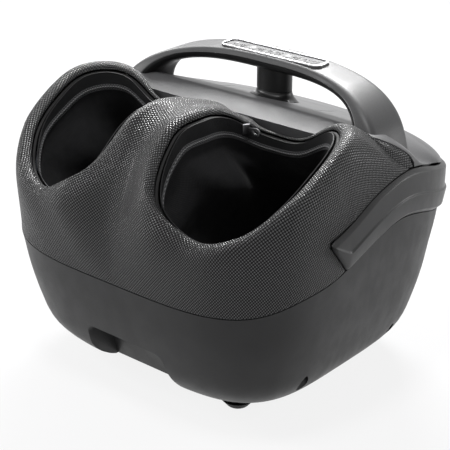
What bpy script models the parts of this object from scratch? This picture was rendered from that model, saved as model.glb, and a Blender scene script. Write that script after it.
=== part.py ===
"""Foot massager with two foot wells, a carrying handle and a row of buttons.

Metres, +Z up. The user sits at -Y, and the origin lies on the floor under the middle of the body.
"""

from math import atan2, copysign, cos, pi, radians, sin

import bmesh
import bpy
from mathutils import Matrix, Vector

# Clearances, walls and overruns
GAP = 0.0003
SEAT_GAP = 0.0005
RUNNING_GAP = 0.0008
JOINT_GAP = 0.0012
OVERRUN = 0.004
SHELL_WALL = 0.0028
COVER_WALL = 0.0024
DECK_WALL = 0.0024
CLOTH_WALL = 0.0022
SHARP_ANGLE = radians(32)

# Body, seen from above
BODY_WIDTH = 0.368
BODY_DEPTH = 0.334
FRONT_POWER = 4.0
REAR_POWER = 4.4
SEAM_INSET = 0.006
RING_POINTS = 48
PLUG_STEPS = 6

# Tub: its profile goes from the floor to the seam, as shares of that height and of the taper
TUB_BOTTOM = 0.0075
SEAM_HEIGHT = 0.1265
BULGE_HEIGHT = 0.1885
TUB_TAPER = 0.058
TUB_RISE_SHARES = (0.0, 0.035, 0.14, 0.27, 0.48, 0.74, 1.0)
TUB_INSET_SHARES = (1.0, 0.85, 0.55, 0.34, 0.20, 0.08, 0.0)
TUB_LEVEL_SHARES = (0.0, 0.04, 0.10, 0.20, 0.36, 0.56, 0.78, 1.0)

# Heights of the line where the tub meets the cover and the belt, from the front to the rear
SEAM_CORNER = 0.1315
SEAM_SIDE_FRONT = 0.1425
SEAM_BELT_TIP = 0.1505
SEAM_BELT_RISE = 0.1715
SEAM_BELT_BEND = 0.1785
SEAM_REAR_CORNER = 0.1605
SEAM_REAR = 0.1535
SEAM_PLACE_SHARES = (-1.0, -0.86, -0.62, -0.36, 0.0, 0.27, 0.72, 1.0)

# Belt round the sides and the back
BELT_PROUD = 0.0036
BELT_BEVEL = 0.0040
BELT_CREASE_OUT = 0.0016
BELT_TIP_PLACE = -0.070
BELT_TIP_HEIGHT = 0.1855
BELT_JOIN_PLACE = -0.046
BELT_TIP_TOP = 0.1905
BELT_FRONT_TOP = 0.1975
BELT_RISE_TOP = 0.2175
BELT_BEND_TOP = 0.2245
BELT_REAR_CORNER_TOP = 0.2075
BELT_REAR_TOP = 0.1995
BELT_PLACE_SHARES = (-0.420, -0.29, 0.0, 0.3, 0.72, 1.0)
BELT_CREASE_SHARE = 0.44
TIP_STEPS = 4
BELT_ROOM = 0.008
BELT_LEAN = 0.008
BELT_TIP_SHARE = 0.35

# Foot openings: reach and height of the rim every 30 degrees from the outer side
OPENING_SIDE = 0.0925
OPENING_PLACE = -0.070
OPENING_REACH = 0.0632
OPENING_REACH_SHARES = (1.0, 1.13, 1.24, 1.14, 1.25, 1.13, 0.99, 1.16, 1.44, 1.18, 1.14, 1.06)
RIM_LOW = 0.1865
RIM_RISE = 0.085
RIM_ROLL_WIDTH = 0.009
RIM_ROLL_HEIGHT = 0.006
RIM_HEIGHT_SHARES = (0.82, 0.96, 0.77, 0.62, 0.68, 0.92, 1.0, 0.90, 0.38, 0.05, 0.20, 0.60)
RIM_ROLL_SHARES = (1.0, 1.0, 0.35, 0.2, 0.25, 1.0, 1.0, 1.0, 1.0, 1.0, 1.0, 1.0)
ROLL_STEPS = 3
COVER_STEPS = 5

# Middle of the cover between the openings, from the deck to the seam
HUMP_TOP = 0.2765
HUMP_LINE_SHARES = (0.0, 0.15, 0.33, 0.5, 0.66, 0.78, 0.88, 1.0)
HUMP_PLACE_SHARES = (0.0, 0.14, 0.37, 0.57, 0.77, 0.92, 1.02, 1.0)
HUMP_HEIGHT_SHARES = (0.81, 0.93, 1.0, 0.97, 0.84, 0.62, 0.35, 0.0)
HUMP_START_TURN = 140
HUMP_END_TURN = 236
HUMP_END_FALL = 70
SEAM_LINES = 14
BELT_LINES = 9
SHOULDER_LINES = 5
LIP_LINES = 9
HUMP_LINES = 13

# Deck behind the openings
LIP_PLACE = 0.010
LIP_HEIGHT = 0.2505
CREASE_PLACE = 0.037
CREASE_HEIGHT = 0.258
DECK_REAR_PLACE = 0.143
DECK_REAR_HEIGHT = 0.2275
DECK_FALL_POWER = 1.1
DECK_SAG = 0.003
DECK_BACK_POWER = 1.3
DECK_BACK_SHARE = 0.85
DECK_SIDE_FRONT = 0.057
DECK_SIDE_REAR = 0.119
DECK_SIDE_INSET = 0.0015
DECK_CORNER_RISE = 0.008
DECK_FLAT_SHARE = 0.78
DECK_ROUND_SHARE = 0.56
DECK_CROWN_SHARE = 0.6
SHOULDER_TOP = 0.2595
SHOULDER_PLACE_SHARES = (0.0, 0.70, 0.82, 0.89, 0.93, 0.967, 1.0)
DECK_COLUMNS = 22
DECK_ROW_SHARES = (0.0, 0.2, 0.45, 0.72, 1.0, 1.5, 1.85, 2.0)
DECK_CREASE_SHARE = 0.2
DECK_EDGE_SHARE = 0.7
DECK_LIP_SHARE = 0.66
DECK_REAR_BOW = 0.026
DECK_BOW_HALF = 0.143
DECK_SHOULDER = 0.012
DECK_CROWD = 0.8
FACE_HEIGHT = 0.0085
FACE_LEAST = 0.0012
FACE_SHARES = (0.12, 0.24, 0.66, 0.8)
SHOULDER_END_SHARE = 0.72

# Handle arch: outer face, edge between its two halves and belly, each a superellipse across the body
ARCH_FOOT_HEIGHT = 0.2335
ARCH_OUTER_HALF = 0.1565
ARCH_OUTER_RISE = 0.061
ARCH_EDGE_HALF = 0.139
ARCH_EDGE_RISE = 0.051
ARCH_BELLY_HALF = 0.133
ARCH_BELLY_RISE = 0.0395
ARCH_POWER = 2.6
ARCH_EDGE_POWER = 3.0
ARCH_BELLY_POWER = 3.4
ARCH_SECTIONS = 24
ARM_FRONT = 0.020
ARM_REAR = 0.076
TOP_FRONT = 0.055
TOP_REAR = 0.100
HANDLE_WALL = 0.0024
HANDLE_ROUND = 0.006
BELLY_POINTS = 6

# Post under the handle
POST_PLACE = 0.077
POST_HALF_WIDTH = 0.020
POST_HALF_LENGTH = 0.014
POST_SEAM_HEIGHT = 0.257
FLARE_HALF_WIDTH = 0.0245
FLARE_HALF_LENGTH = 0.0175
FLARE_STEPS = 5
COLLAR_BOTTOM = 0.2395

# Control panel
PANEL_PLACE = 0.076
PANEL_HALF_LENGTH = 0.062
PANEL_HALF_WIDTH = 0.0125
TRIM_WIDTH = 0.0026
TRIM_TOP = 0.2957
TRIM_HEIGHT = 0.0054
PLATE_TOP = 0.294
PLATE_THICKNESS = 0.0018
BUTTON_COUNT = 5
BUTTON_PITCH = 0.0225
BUTTON_HALF_LENGTH = 0.0082
BUTTON_HALF_WIDTH = 0.0058
BUTTON_PROUD = 0.0010
BUTTON_TRAVEL = 0.0008
BUTTON_HEIGHT = 0.0040
BUTTON_FLANGE = 0.0010
BUTTON_FLANGE_WIDTH = 0.0012
BOARD_THICKNESS = 0.0016
PANEL_BOARD_DROP = 0.0040

# Front cut-out and screw wells of the tub
CUTOUT_TOP_HALF = 0.050
CUTOUT_FOOT_HALF = 0.060
CUTOUT_TOP = 0.0635
CUTOUT_BACK_TOP = -0.122
CUTOUT_BACK_FOOT = -0.094
CUTOUT_CORNER = 0.012
WELL_SIDE = 0.154
WELL_PLACE = 0.070
WELL_RADIUS = 0.0058
WELL_TOP = 0.0735
SCREW_RADIUS = 0.002
SCREW_HEAD_RADIUS = 0.0042
SCREW_HEAD_HEIGHT = 0.003
SCREW_LENGTH = 0.011

# Feet and bottom plate
FOOT_SIDE = 0.090
FOOT_PLACE = 0.086
FOOT_TOP_RADIUS = 0.0165
FOOT_SOLE_RADIUS = 0.0115
FOOT_CHAMFER = 0.0012
PLATE_HALF_WIDTH = 0.112
PLATE_HALF_DEPTH = 0.062
PLATE_BOTTOM = 0.0025

# Pockets of cloth
POCKET_SIDE = 0.092
POCKET_PLACE = -0.004
POCKET_HALF_WIDTH = 0.052
POCKET_HALF_LENGTH = 0.118
POCKET_SOLE = 0.114
POCKET_ROUND = 0.012
POCKET_ROUND_SHARE = 0.16
POCKET_POWER = 3.0
POCKET_POINTS = 28
POCKET_NECK_SHARE = 0.07
POCKET_LEVEL_SHARES = (0.0, 0.07, 0.2, 0.36, 0.56, 0.78, 1.0)
GASKET_WIDTH = 0.0030
GASKET_HEIGHT = 0.0055
GASKET_DROP = 0.0015
AIRBAG_THICKNESS = 0.015
AIRBAG_SEAM = 0.002
AIRBAG_GAP = 0.0020
AIRBAG_ROWS = 5
AIRBAG_COLUMNS = 7
OUTER_BAG_TURNS = (-48, 42)
OUTER_BAG_SHARES = (0.16, 0.72)
INSTEP_BAG_TURNS = (56, 124)
INSTEP_BAG_SHARES = (0.3, 0.74)
ZIP_TURN = 136
ZIP_SHARE = 0.02
ZIP_GAP = 0.0009
ZIP_SLIDER_THICKNESS = 0.0024
PULLER_TURN = 115
ZIP_SLIDER_WIDTH = 0.0075
ZIP_SLIDER_LENGTH = 0.010
PULLER_THICKNESS = 0.0012
PULLER_WIDTH = 0.0075
PULLER_LENGTH = 0.016

# Drive
CHASSIS_BOTTOM = 0.0766
CHASSIS_THICKNESS = 0.004
CHASSIS_HALF_WIDTH = 0.162
CHASSIS_HALF_DEPTH = 0.140
DISC_SIDE = 0.090
DISC_PLACES = (-0.058, 0.042)
DISC_RADIUS = 0.036
DISC_THICKNESS = 0.005
DISC_LIFT = 0.0062
NODE_RADIUS = 0.0125
NODE_ORBIT = 0.0225
NODE_HEIGHT = 0.0185
NODE_COUNT = 3
SPINDLE_RADIUS = 0.006
WHEEL_RADIUS = 0.023
WHEEL_TEETH = 20
TOOTH_HEIGHT = 0.0022
WHEEL_THICKNESS = 0.009
WHEEL_DROP = 0.018
WORM_RADIUS = 0.007
SHAFT_RADIUS = 0.003
SHAFT_SIDE = 0.059
WORM_LENGTH = 0.0275
WORM_DEPTH = 0.0018
WORM_TURNS = 4
WORM_STEPS = 16
WORM_POINTS = 8
SHAFT_FRONT = -0.094
SHAFT_REAR = 0.088
MOTOR_RADIUS = 0.0125
MOTOR_LENGTH = 0.040
MOTOR_BOSS = 0.003
MOTOR_SEAT_WALL = 0.0025
MOTOR_SEAT_DROP = 0.004
MOTOR_SEAT_FRONT = 0.098
MOTOR_SEAT_REAR = 0.118
HANGER_WIDTH = 0.014
HANGER_THICKNESS = 0.007
HANGER_PLACES = (-0.088, -0.008, 0.079)

# Air, heat, boards and the inlet, as sizes and places
HEATER_SIZE = (0.056, 0.020, 0.0275)
HEATER_PLACE = -0.008
PUMP_SIZE = (0.062, 0.056, 0.044)
PUMP_PLACE = 0.024
VALVE_SIZE = (0.034, 0.040, 0.022)
VALVE_PLACE = -0.048
BOARD_SIZE = (0.066, 0.048, 0.0016)
BOARD_PLACE = 0.092
CHIP_SIZE = (0.030, 0.020, 0.009)
INLET_HEIGHT = 0.0655
INLET_RADIUS = 0.0056
INLET_BORE = 0.0034
INLET_PIN = 0.0011
INLET_DEPTH = 0.014
INLET_PROUD = 0.0022


def clear_scene():
    for thing in list(bpy.data.objects):
        bpy.data.objects.remove(thing, do_unlink=True)


def material(name, colour, roughness, metallic=0.0):
    made = bpy.data.materials.new(name)
    made.use_nodes = True
    shader = made.node_tree.nodes["Principled BSDF"]
    shader.inputs["Base Color"].default_value = (*colour, 1.0)
    shader.inputs["Roughness"].default_value = roughness
    shader.inputs["Metallic"].default_value = metallic
    return made


def add(name, shape, finish=None, origin=(0, 0, 0), smooth=True):
    """Make an object from a bmesh given in world places, with its origin at one point."""
    origin = Vector(origin)
    bmesh.ops.recalc_face_normals(shape, faces=shape.faces)
    bmesh.ops.translate(shape, verts=shape.verts, vec=-origin)
    mesh = bpy.data.meshes.new(name)
    shape.to_mesh(mesh)
    shape.free()
    if smooth:
        mesh.shade_smooth()
        mesh.set_sharp_from_angle(angle=SHARP_ANGLE)
    thing = bpy.data.objects.new(name, mesh)
    thing.location = origin
    bpy.context.scene.collection.objects.link(thing)
    if finish:
        mesh.materials.append(finish)
    return thing


def helper(name, shape):
    """A solid that only cuts or joins, and isn't part of the model."""
    thing = add(name, shape, smooth=False)
    thing.hide_render = True
    thing.display_type = "WIRE"
    return thing


def combine(thing, other, operation):
    step = thing.modifiers.new(other.name, "BOOLEAN")
    step.operation = operation
    step.object = other
    step.solver = "EXACT"


def cut(thing, other):
    combine(thing, other, "DIFFERENCE")


def join(thing, other):
    combine(thing, other, "UNION")


def slope(points, index):
    before = points[max(index - 1, 0)]
    after = points[min(index + 1, len(points) - 1)]
    return (after[1] - before[1]) / (after[0] - before[0])


def read(places, values, place):
    """Value at a place on the smooth curve through the values at the places."""
    points = list(zip(places, values))
    last = len(points) - 1
    place = min(max(place, points[0][0]), points[last][0])
    span = next(i for i in range(last) if place <= points[i + 1][0])
    width = points[span + 1][0] - points[span][0]
    t = (place - points[span][0]) / width
    start, end = points[span][1], points[span + 1][1]
    left = start * (2 * t**3 - 3 * t**2 + 1) + end * (3 * t**2 - 2 * t**3)
    bend = slope(points, span) * (t**3 - 2 * t**2 + t) + slope(points, span + 1) * (t**3 - t**2)
    return left + width * bend


def read_round(values, share):
    """Value at a share of a full turn on the smooth closed curve through evenly spaced values."""
    count = len(values)
    place = (share % 1) * count
    index = int(place)
    t = place - index
    a, b, c, d = (values[(index + step) % count] for step in (-1, 0, 1, 2))
    return b + 0.5 * t * (c - a + t * (2 * a - 5 * b + 4 * c - d + t * (3 * (b - c) + d - a)))


def blend(start, end, share):
    return start + (end - start) * share


def ease(share):
    """Share that starts and ends gently."""
    share = min(max(share, 0), 1)
    return share * share * (3 - 2 * share)


def plan(angle, half_x, half_y, power):
    """Point of a superellipse in the direction of an angle."""
    c, s = cos(angle), sin(angle)
    reach = (abs(c / half_x) ** power + abs(s / half_y) ** power) ** (-1 / power)
    return Vector((reach * c, reach * s, 0))


def prism(outline, bottom, top):
    """Solid between two heights over a list of (x, y) points."""
    shape = bmesh.new()
    face = shape.faces.new([shape.verts.new((x, y, bottom)) for x, y in outline])
    raised = bmesh.ops.extrude_face_region(shape, geom=[face])["geom"]
    points = [item for item in raised if isinstance(item, bmesh.types.BMVert)]
    bmesh.ops.translate(shape, verts=points, vec=(0, 0, top - bottom))
    return shape


def loft(rings, closed=False):
    """Skin over rings of as many points each, with end faces unless it closes on itself."""
    shape = bmesh.new()
    loops = [[shape.verts.new(point) for point in ring] for ring in rings]
    pairs = list(zip(loops, loops[1:]))
    if closed:
        pairs.append((loops[-1], loops[0]))
    for lower, upper in pairs:
        for i in range(len(lower)):
            j = (i + 1) % len(lower)
            shape.faces.new((lower[i], lower[j], upper[j], upper[i]))
    if not closed:
        shape.faces.new(loops[0][::-1])
        shape.faces.new(loops[-1])
    return shape


def turned(centre, profile, points=24, axis="Z"):
    """Solid of revolution: the profile lists (radius, place along the axis)."""
    rings = [[(r * cos(2 * pi * k / points), r * sin(2 * pi * k / points), h) for k in range(points)] for r, h in profile]
    shape = loft(rings)
    if axis == "Y":
        bmesh.ops.rotate(shape, verts=shape.verts, matrix=Matrix.Rotation(-pi / 2, 3, "X"))
    bmesh.ops.translate(shape, verts=shape.verts, vec=centre)
    return shape


def box(low, high):
    return prism(((low[0], low[1]), (high[0], low[1]), (high[0], high[1]), (low[0], high[1])), low[2], high[2])


def merged(shapes):
    """Several bmeshes as one, for cutters with more than one body."""
    whole = bmesh.new()
    for shape in shapes:
        bmesh.ops.recalc_face_normals(shape, faces=shape.faces)
        mesh = bpy.data.meshes.new("piece")
        shape.to_mesh(mesh)
        shape.free()
        whole.from_mesh(mesh)
        bpy.data.meshes.remove(mesh)
    return whole


def sides():
    return (("left", -1), ("right", 1))


# Body outline


def body_inset(height):
    """How far the wall stands inside the widest outline at a height."""
    share = (height - TUB_BOTTOM) / (SEAM_HEIGHT - TUB_BOTTOM)
    if share <= 1:
        return SEAM_INSET + TUB_TAPER * read(TUB_RISE_SHARES, TUB_INSET_SHARES, share)
    above = min((height - SEAM_HEIGHT) / (BULGE_HEIGHT - SEAM_HEIGHT), 1)
    return SEAM_INSET * (1 - above) ** 2


def body_point(angle, height, out=0.0):
    """Point of the body's outer wall, or of an outline that lies a distance outside it."""
    inset = body_inset(height) - out
    power = REAR_POWER if sin(angle) > 0 else FRONT_POWER
    point = plan(angle, BODY_WIDTH / 2 - inset, BODY_DEPTH / 2 - inset, power)
    point.z = height
    return point


def seam_height(y):
    heights = (
        SEAM_HEIGHT,
        SEAM_CORNER,
        SEAM_SIDE_FRONT,
        SEAM_BELT_TIP,
        SEAM_BELT_RISE,
        SEAM_BELT_BEND,
        SEAM_REAR_CORNER,
        SEAM_REAR,
    )
    return read(SEAM_PLACE_SHARES, heights, y / (BODY_DEPTH / 2))


def belt_top(y):
    heights = (BELT_TIP_TOP, BELT_FRONT_TOP, BELT_RISE_TOP, BELT_BEND_TOP, BELT_REAR_CORNER_TOP, BELT_REAR_TOP)
    return read(BELT_PLACE_SHARES, heights, y / (BODY_DEPTH / 2))


def belt_low(y):
    """Height of the belt's lower edge, which runs up to its tip in front of the seam."""
    share = min(max((y - BELT_TIP_PLACE) / (BELT_JOIN_PLACE - BELT_TIP_PLACE), 0), 1)
    return max(blend(BELT_TIP_HEIGHT, seam_height(BELT_JOIN_PLACE), share), seam_height(y))


def outline_y(angle):
    return body_point(angle, BULGE_HEIGHT).y


def outline_x(y):
    """Half width of the widest outline at this y."""
    power = REAR_POWER if y > 0 else FRONT_POWER
    return BODY_WIDTH / 2 * max(1 - abs(2 * y / BODY_DEPTH) ** power, 0) ** (1 / power)


def outline_rear(x):
    """How far behind the middle the widest outline lies at this x."""
    return BODY_DEPTH / 2 * max(1 - abs(2 * x / BODY_WIDTH) ** REAR_POWER, 0) ** (1 / REAR_POWER)


def angle_at(y):
    """Angle on the right side at which the widest outline has this y."""
    return atan2(y, outline_x(y))


# Tub


def tub_ring(level, out):
    """Ring of the tub's wall at a share of its height, with its top along the seam."""
    ring = []
    for k in range(RING_POINTS):
        angle = 2 * pi * (k + 0.5) / RING_POINTS
        top = seam_height(outline_y(angle)) - GAP
        bottom = TUB_BOTTOM - out
        ring.append(body_point(angle, blend(bottom, top, level), out))
    return ring


def cutout_shape(grow):
    """Arched recess at the front of the tub, or the wall round it when grown."""
    front = -BODY_DEPTH / 2 - OVERRUN
    top = CUTOUT_TOP + grow
    foot = -OVERRUN
    half_top = CUTOUT_TOP_HALF + grow
    half_foot = CUTOUT_FOOT_HALF + grow
    back_foot = CUTOUT_BACK_FOOT + grow
    back_top = CUTOUT_BACK_TOP + grow
    rings = []
    for y_top, y_foot in ((front, front), (back_top, back_foot)):
        rings.append(
            [
                (-half_foot, y_foot, foot),
                (half_foot, y_foot, foot),
                (half_top, blend(y_foot, y_top, 0.8), top - CUTOUT_CORNER),
                (half_top - CUTOUT_CORNER, y_top, top),
                (CUTOUT_CORNER - half_top, y_top, top),
                (-half_top, blend(y_foot, y_top, 0.8), top - CUTOUT_CORNER),
            ]
        )
    return loft(rings)


def well_shape(x, y, grow):
    radius = WELL_RADIUS + grow
    return turned((x, y, 0), ((radius, -OVERRUN), (radius, WELL_TOP + grow)), 16)


def well_places():
    return [(x * WELL_SIDE, y * WELL_PLACE) for x in (-1, 1) for y in (-1, 1)]


def hollows(name, grow):
    shapes = [cutout_shape(grow)] + [well_shape(x, y, grow) for x, y in well_places()]
    return helper(name, merged(shapes))


def tub_plug(out):
    """Lower part of the tub as a solid with a flat top, a distance outside its wall."""
    rings = []
    for k in range(PLUG_STEPS + 1):
        height = blend(TUB_BOTTOM - out, CHASSIS_BOTTOM + OVERRUN, (k / PLUG_STEPS) ** 1.5)
        rings.append([body_point(2 * pi * (i + 0.5) / RING_POINTS, height, out) for i in range(RING_POINTS)])
    return loft(rings)


def base_shell(finish):
    outer = [tub_ring(level, 0.0) for level in TUB_LEVEL_SHARES]
    inner = [tub_ring(level, -SHELL_WALL) for level in reversed(TUB_LEVEL_SHARES)]
    tub = add("base_shell", loft(outer + inner), finish)
    sleeve = helper("tub_sleeves", tub_plug(-SHELL_WALL / 2))
    combine(sleeve, hollows("tub_hollow_walls", SHELL_WALL), "INTERSECT")
    join(tub, sleeve)
    cut(tub, hollows("tub_hollows", 0.0))
    radius = SCREW_RADIUS + GAP
    ends = ((radius, WELL_TOP - OVERRUN), (radius, CHASSIS_BOTTOM))
    bores = [turned((x, y, 0), ends, 12) for x, y in well_places()]
    cut(tub, helper("screw_bores", merged(bores)))
    ends = ((INLET_RADIUS + GAP, BODY_DEPTH / 4), (INLET_RADIUS + GAP, BODY_DEPTH))
    cut(tub, helper("inlet_hole", turned((0, 0, INLET_HEIGHT), ends, 20, "Y")))
    return tub


# Cover with its two openings


def opening_edge(angle):
    """Inner edge of the right opening, at the start of its rolled rim."""
    reach = OPENING_REACH * read_round(OPENING_REACH_SHARES, angle / (2 * pi))
    point = Vector((OPENING_SIDE + reach * cos(angle), OPENING_PLACE + reach * sin(angle), 0))
    point.z = RIM_LOW + RIM_RISE * read_round(RIM_HEIGHT_SHARES, angle / (2 * pi))
    return point


def opening_out(angle):
    """Direction in plan from the inside of the opening to its wall."""
    step = radians(2)
    along = opening_edge(angle + step) - opening_edge(angle - step)
    return Vector((along.y, -along.x, 0)).normalized()


def seam_run(share):
    """Front seam from the middle to where it meets the belt."""
    angle = blend(-pi / 2, angle_at(BELT_JOIN_PLACE), share)
    return body_point(angle, seam_height(outline_y(angle)))


def belt_run(share):
    """Cover's edge along the top of the belt, from behind its tip to the deck."""
    y = blend(BELT_JOIN_PLACE + BELT_LEAN, DECK_SIDE_FRONT, share)
    return body_point(angle_at(y), belt_top(y) - GAP)


def deck_front(share):
    """Front edge of the deck from its middle to its side, where it meets the cover."""
    side = body_point(angle_at(DECK_SIDE_FRONT), belt_top(DECK_SIDE_FRONT) - GAP)
    heights = (
        LIP_HEIGHT,
        LIP_HEIGHT,
        SHOULDER_TOP,
        blend(SHOULDER_TOP, side.z, 0.12),
        blend(SHOULDER_TOP, side.z, 0.33),
        blend(SHOULDER_TOP, side.z, 0.65),
        side.z,
    )
    place = blend(LIP_PLACE, DECK_SIDE_FRONT, share**8)
    return Vector(((side.x - DECK_SIDE_INSET) * share, place, read(SHOULDER_PLACE_SHARES, heights, share)))


def deck_face(share):
    """Height of the deck's upright front face, which ends at the hump and at the shoulder."""
    rise = ease((share - FACE_SHARES[0]) / (FACE_SHARES[1] - FACE_SHARES[0]))
    fall = ease((FACE_SHARES[3] - share) / (FACE_SHARES[3] - FACE_SHARES[2]))
    return FACE_HEIGHT * rise * fall


def deck_joint(share):
    """Cover's edge in front of the deck, at a share of the deck's half width."""
    return deck_front(share) - Vector((0, JOINT_GAP, deck_face(share) + FACE_LEAST * 0.5))


def shoulder_run(share):
    return deck_joint(blend(1.0, SHOULDER_END_SHARE, share))


def lip_run(share):
    return deck_joint(blend(SHOULDER_END_SHARE, 0.0, share))


def hump_run(share):
    """Middle line of the cover, from the deck over the top to the front seam."""
    front, back = seam_run(0), lip_run(1)
    place = blend(back.y, front.y, read(HUMP_LINE_SHARES, HUMP_PLACE_SHARES, share))
    height = blend(front.z, HUMP_TOP, read(HUMP_LINE_SHARES, HUMP_HEIGHT_SHARES, share))
    start = blend(front.z, HUMP_TOP, HUMP_HEIGHT_SHARES[0])
    height += (back.z - start) * max(1 - share / HUMP_LINE_SHARES[2], 0)
    return Vector((0, place, height))


def cover_edge():
    """Outer edge of the right half as (point, angle at the opening, direction that the wall has there)."""
    inward, rearward, down = Vector((-1, 0, 0)), Vector((0, 1, 0)), Vector((0, 0, -1))
    slant = (inward * cos(radians(HUMP_END_FALL)) + down * sin(radians(HUMP_END_FALL))).normalized()
    runs = (
        (seam_run, SEAM_LINES, HUMP_END_TURN - 360, 4, (slant, down, down)),
        (belt_run, BELT_LINES, 10, 50, (down, down, rearward)),
        (shoulder_run, SHOULDER_LINES, 52, 70, (rearward, rearward, rearward)),
        (lip_run, LIP_LINES, 72, HUMP_START_TURN, (rearward, rearward, inward)),
        (hump_run, HUMP_LINES, HUMP_START_TURN, HUMP_END_TURN, (inward, inward, slant)),
    )
    edge = []
    for run, count, start, end, headings in runs:
        for k in range(count):
            share = k / (count if run in (lip_run, hump_run) else count - 1)
            first, middle, last = headings
            if share < 0.5:
                heading = blend(first, middle, ease(share * 4)).normalized()
            else:
                heading = blend(middle, last, ease(share * 2 - 1)).normalized()
            edge.append((run(share), radians(blend(start, end, share)), heading))
    return edge


def cover_line(point, angle, heading):
    """Section of the cover from the opening over the rim to the outer edge."""
    edge, out = opening_edge(angle), opening_out(angle)
    roll = read_round(RIM_ROLL_SHARES, angle / (2 * pi))
    line = []
    for k in range(ROLL_STEPS + 1):
        turn = pi / 2 * k / ROLL_STEPS
        rise = Vector((0, 0, RIM_ROLL_HEIGHT * roll * sin(turn)))
        line.append(edge + out * RIM_ROLL_WIDTH * roll * (1 - cos(turn)) + rise)
    crest = line[-1]
    reach = (point - crest).length
    start = out * reach * 0.8
    end = heading * reach * 0.9
    for k in range(1, COVER_STEPS + 1):
        t = k / COVER_STEPS
        place = crest * (2 * t**3 - 3 * t**2 + 1) + point * (3 * t**2 - 2 * t**3)
        line.append(place + start * (t**3 - 2 * t**2 + t) + end * (t**3 - t**2))
    return line


def belt_room():
    """Solid that clears the cover and the deck round the belt."""
    ends = [angle_at(BELT_TIP_PLACE - GAP), angle_at(BELT_JOIN_PLACE - 2 * JOINT_GAP)]
    rings = []
    for angle in sorted(ends + belt_angles() + [pi - angle for angle in ends]):
        y = outline_y(angle)
        drop = GAP if y < BELT_JOIN_PLACE - JOINT_GAP else OVERRUN
        low, high = belt_low(y) - drop, belt_top(y) + GAP
        line = ((-BELT_ROOM, low), (BELT_ROOM, low), (BELT_ROOM, high), (-BELT_ROOM, high))
        rings.append([body_point(angle, height, out) for out, height in line])
    return loft(rings)


def front_cover(finish):
    shape = bmesh.new()
    lines = [cover_line(*entry) for entry in cover_edge()]
    for side in (1, -1):
        grid = [[shape.verts.new((side * p.x, p.y, p.z)) for p in line] for line in lines]
        for a, b in zip(grid, grid[1:] + grid[:1]):
            for k in range(len(a) - 1):
                corners = (a[k], a[k + 1], b[k + 1], b[k])
                shape.faces.new(corners if side == 1 else corners[::-1])
    bmesh.ops.remove_doubles(shape, verts=shape.verts, dist=GAP / 3)
    cover = add("front_cover", shape, finish)
    wall = cover.modifiers.new("wall", "SOLIDIFY")
    wall.thickness = COVER_WALL
    wall.offset = -1
    cut(cover, helper("belt_room", belt_room()))
    return cover


# Belt


def belt_section(angle, share):
    """Section of the belt at an angle, with its proud part drawn in at the tips."""
    y = outline_y(angle)
    low, high = belt_low(y) + GAP, belt_top(y) - GAP
    proud = BELT_PROUD * share
    crease = blend(low, high, BELT_CREASE_SHARE)
    line = (
        (-SHELL_WALL, low),
        (0.0, low),
        (proud, low + BELT_BEVEL),
        (proud + BELT_CREASE_OUT * share, crease),
        (proud, crease + BELT_CREASE_OUT),
        (proud, high - BELT_BEVEL),
        (0.0, high),
        (-SHELL_WALL, high),
    )
    return [body_point(angle, height, out) for out, height in line]


def belt_angles():
    """Angles of the belt's sections, which match those of the cover and the deck beside it."""
    places = [blend(BELT_TIP_PLACE, BELT_JOIN_PLACE, k / TIP_STEPS) for k in range(TIP_STEPS)]
    places += [blend(BELT_JOIN_PLACE, DECK_SIDE_FRONT, k / (BELT_LINES - 1)) for k in range(BELT_LINES)]
    places += [deck_plan(1.0, row)[1] for row in DECK_ROW_SHARES[1:]]
    side = [angle_at(y) for y in places]
    rear = [deck_plan(place, 2.0)[0] for place in deck_places() if 0 <= place < 1]
    side += sorted(atan2(point.y, point.x) for point in rear)
    return side + [pi - angle for angle in side[-2::-1]]


def trim_belt(finish):
    angles = belt_angles()
    sections = []
    for k, angle in enumerate(angles):
        tip = min(k, len(angles) - 1 - k)
        sections.append(belt_section(angle, min(BELT_TIP_SHARE + tip, 1)))
    return add("trim_belt", loft(sections), finish)


# Deck


def deck_plan(across, row):
    """Point of the deck in plan: share of its half width, and share of the way to its rear edge."""
    corner = outline_x(DECK_SIDE_REAR) - DECK_SIDE_INSET
    front = blend(LIP_PLACE, DECK_SIDE_FRONT, across**8)
    rear = outline_rear(corner * across) - DECK_SIDE_INSET
    edge = min(DECK_REAR_PLACE - DECK_REAR_BOW * (corner * across / DECK_BOW_HALF) ** 2, rear - DECK_SHOULDER)
    y = blend(front, edge, row) if row <= 1 else blend(edge, rear, row - 1)
    side = blend(DECK_SIDE_FRONT, DECK_SIDE_REAR, min(row, 1) * DECK_EDGE_SHARE + max(row - 1, 0) * (1 - DECK_EDGE_SHARE))
    return Vector((across * (outline_x(side) - DECK_SIDE_INSET), y, 0)), side


def deck_top(across, row):
    """Height of the deck before it turns down at its side and rear."""
    front = blend(LIP_HEIGHT, SHOULDER_TOP, ease((across - DECK_LIP_SHARE) / (DECK_FLAT_SHARE - DECK_LIP_SHARE)))
    if row <= DECK_CREASE_SHARE:
        return blend(front, CREASE_HEIGHT, row / DECK_CREASE_SHARE)
    share = min((row - DECK_CREASE_SHARE) / (1 - DECK_CREASE_SHARE), 1)
    fall = (CREASE_HEIGHT - DECK_REAR_HEIGHT) * share**DECK_FALL_POWER
    return CREASE_HEIGHT - fall - DECK_SAG * share * ease(across / DECK_ROUND_SHARE)


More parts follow.
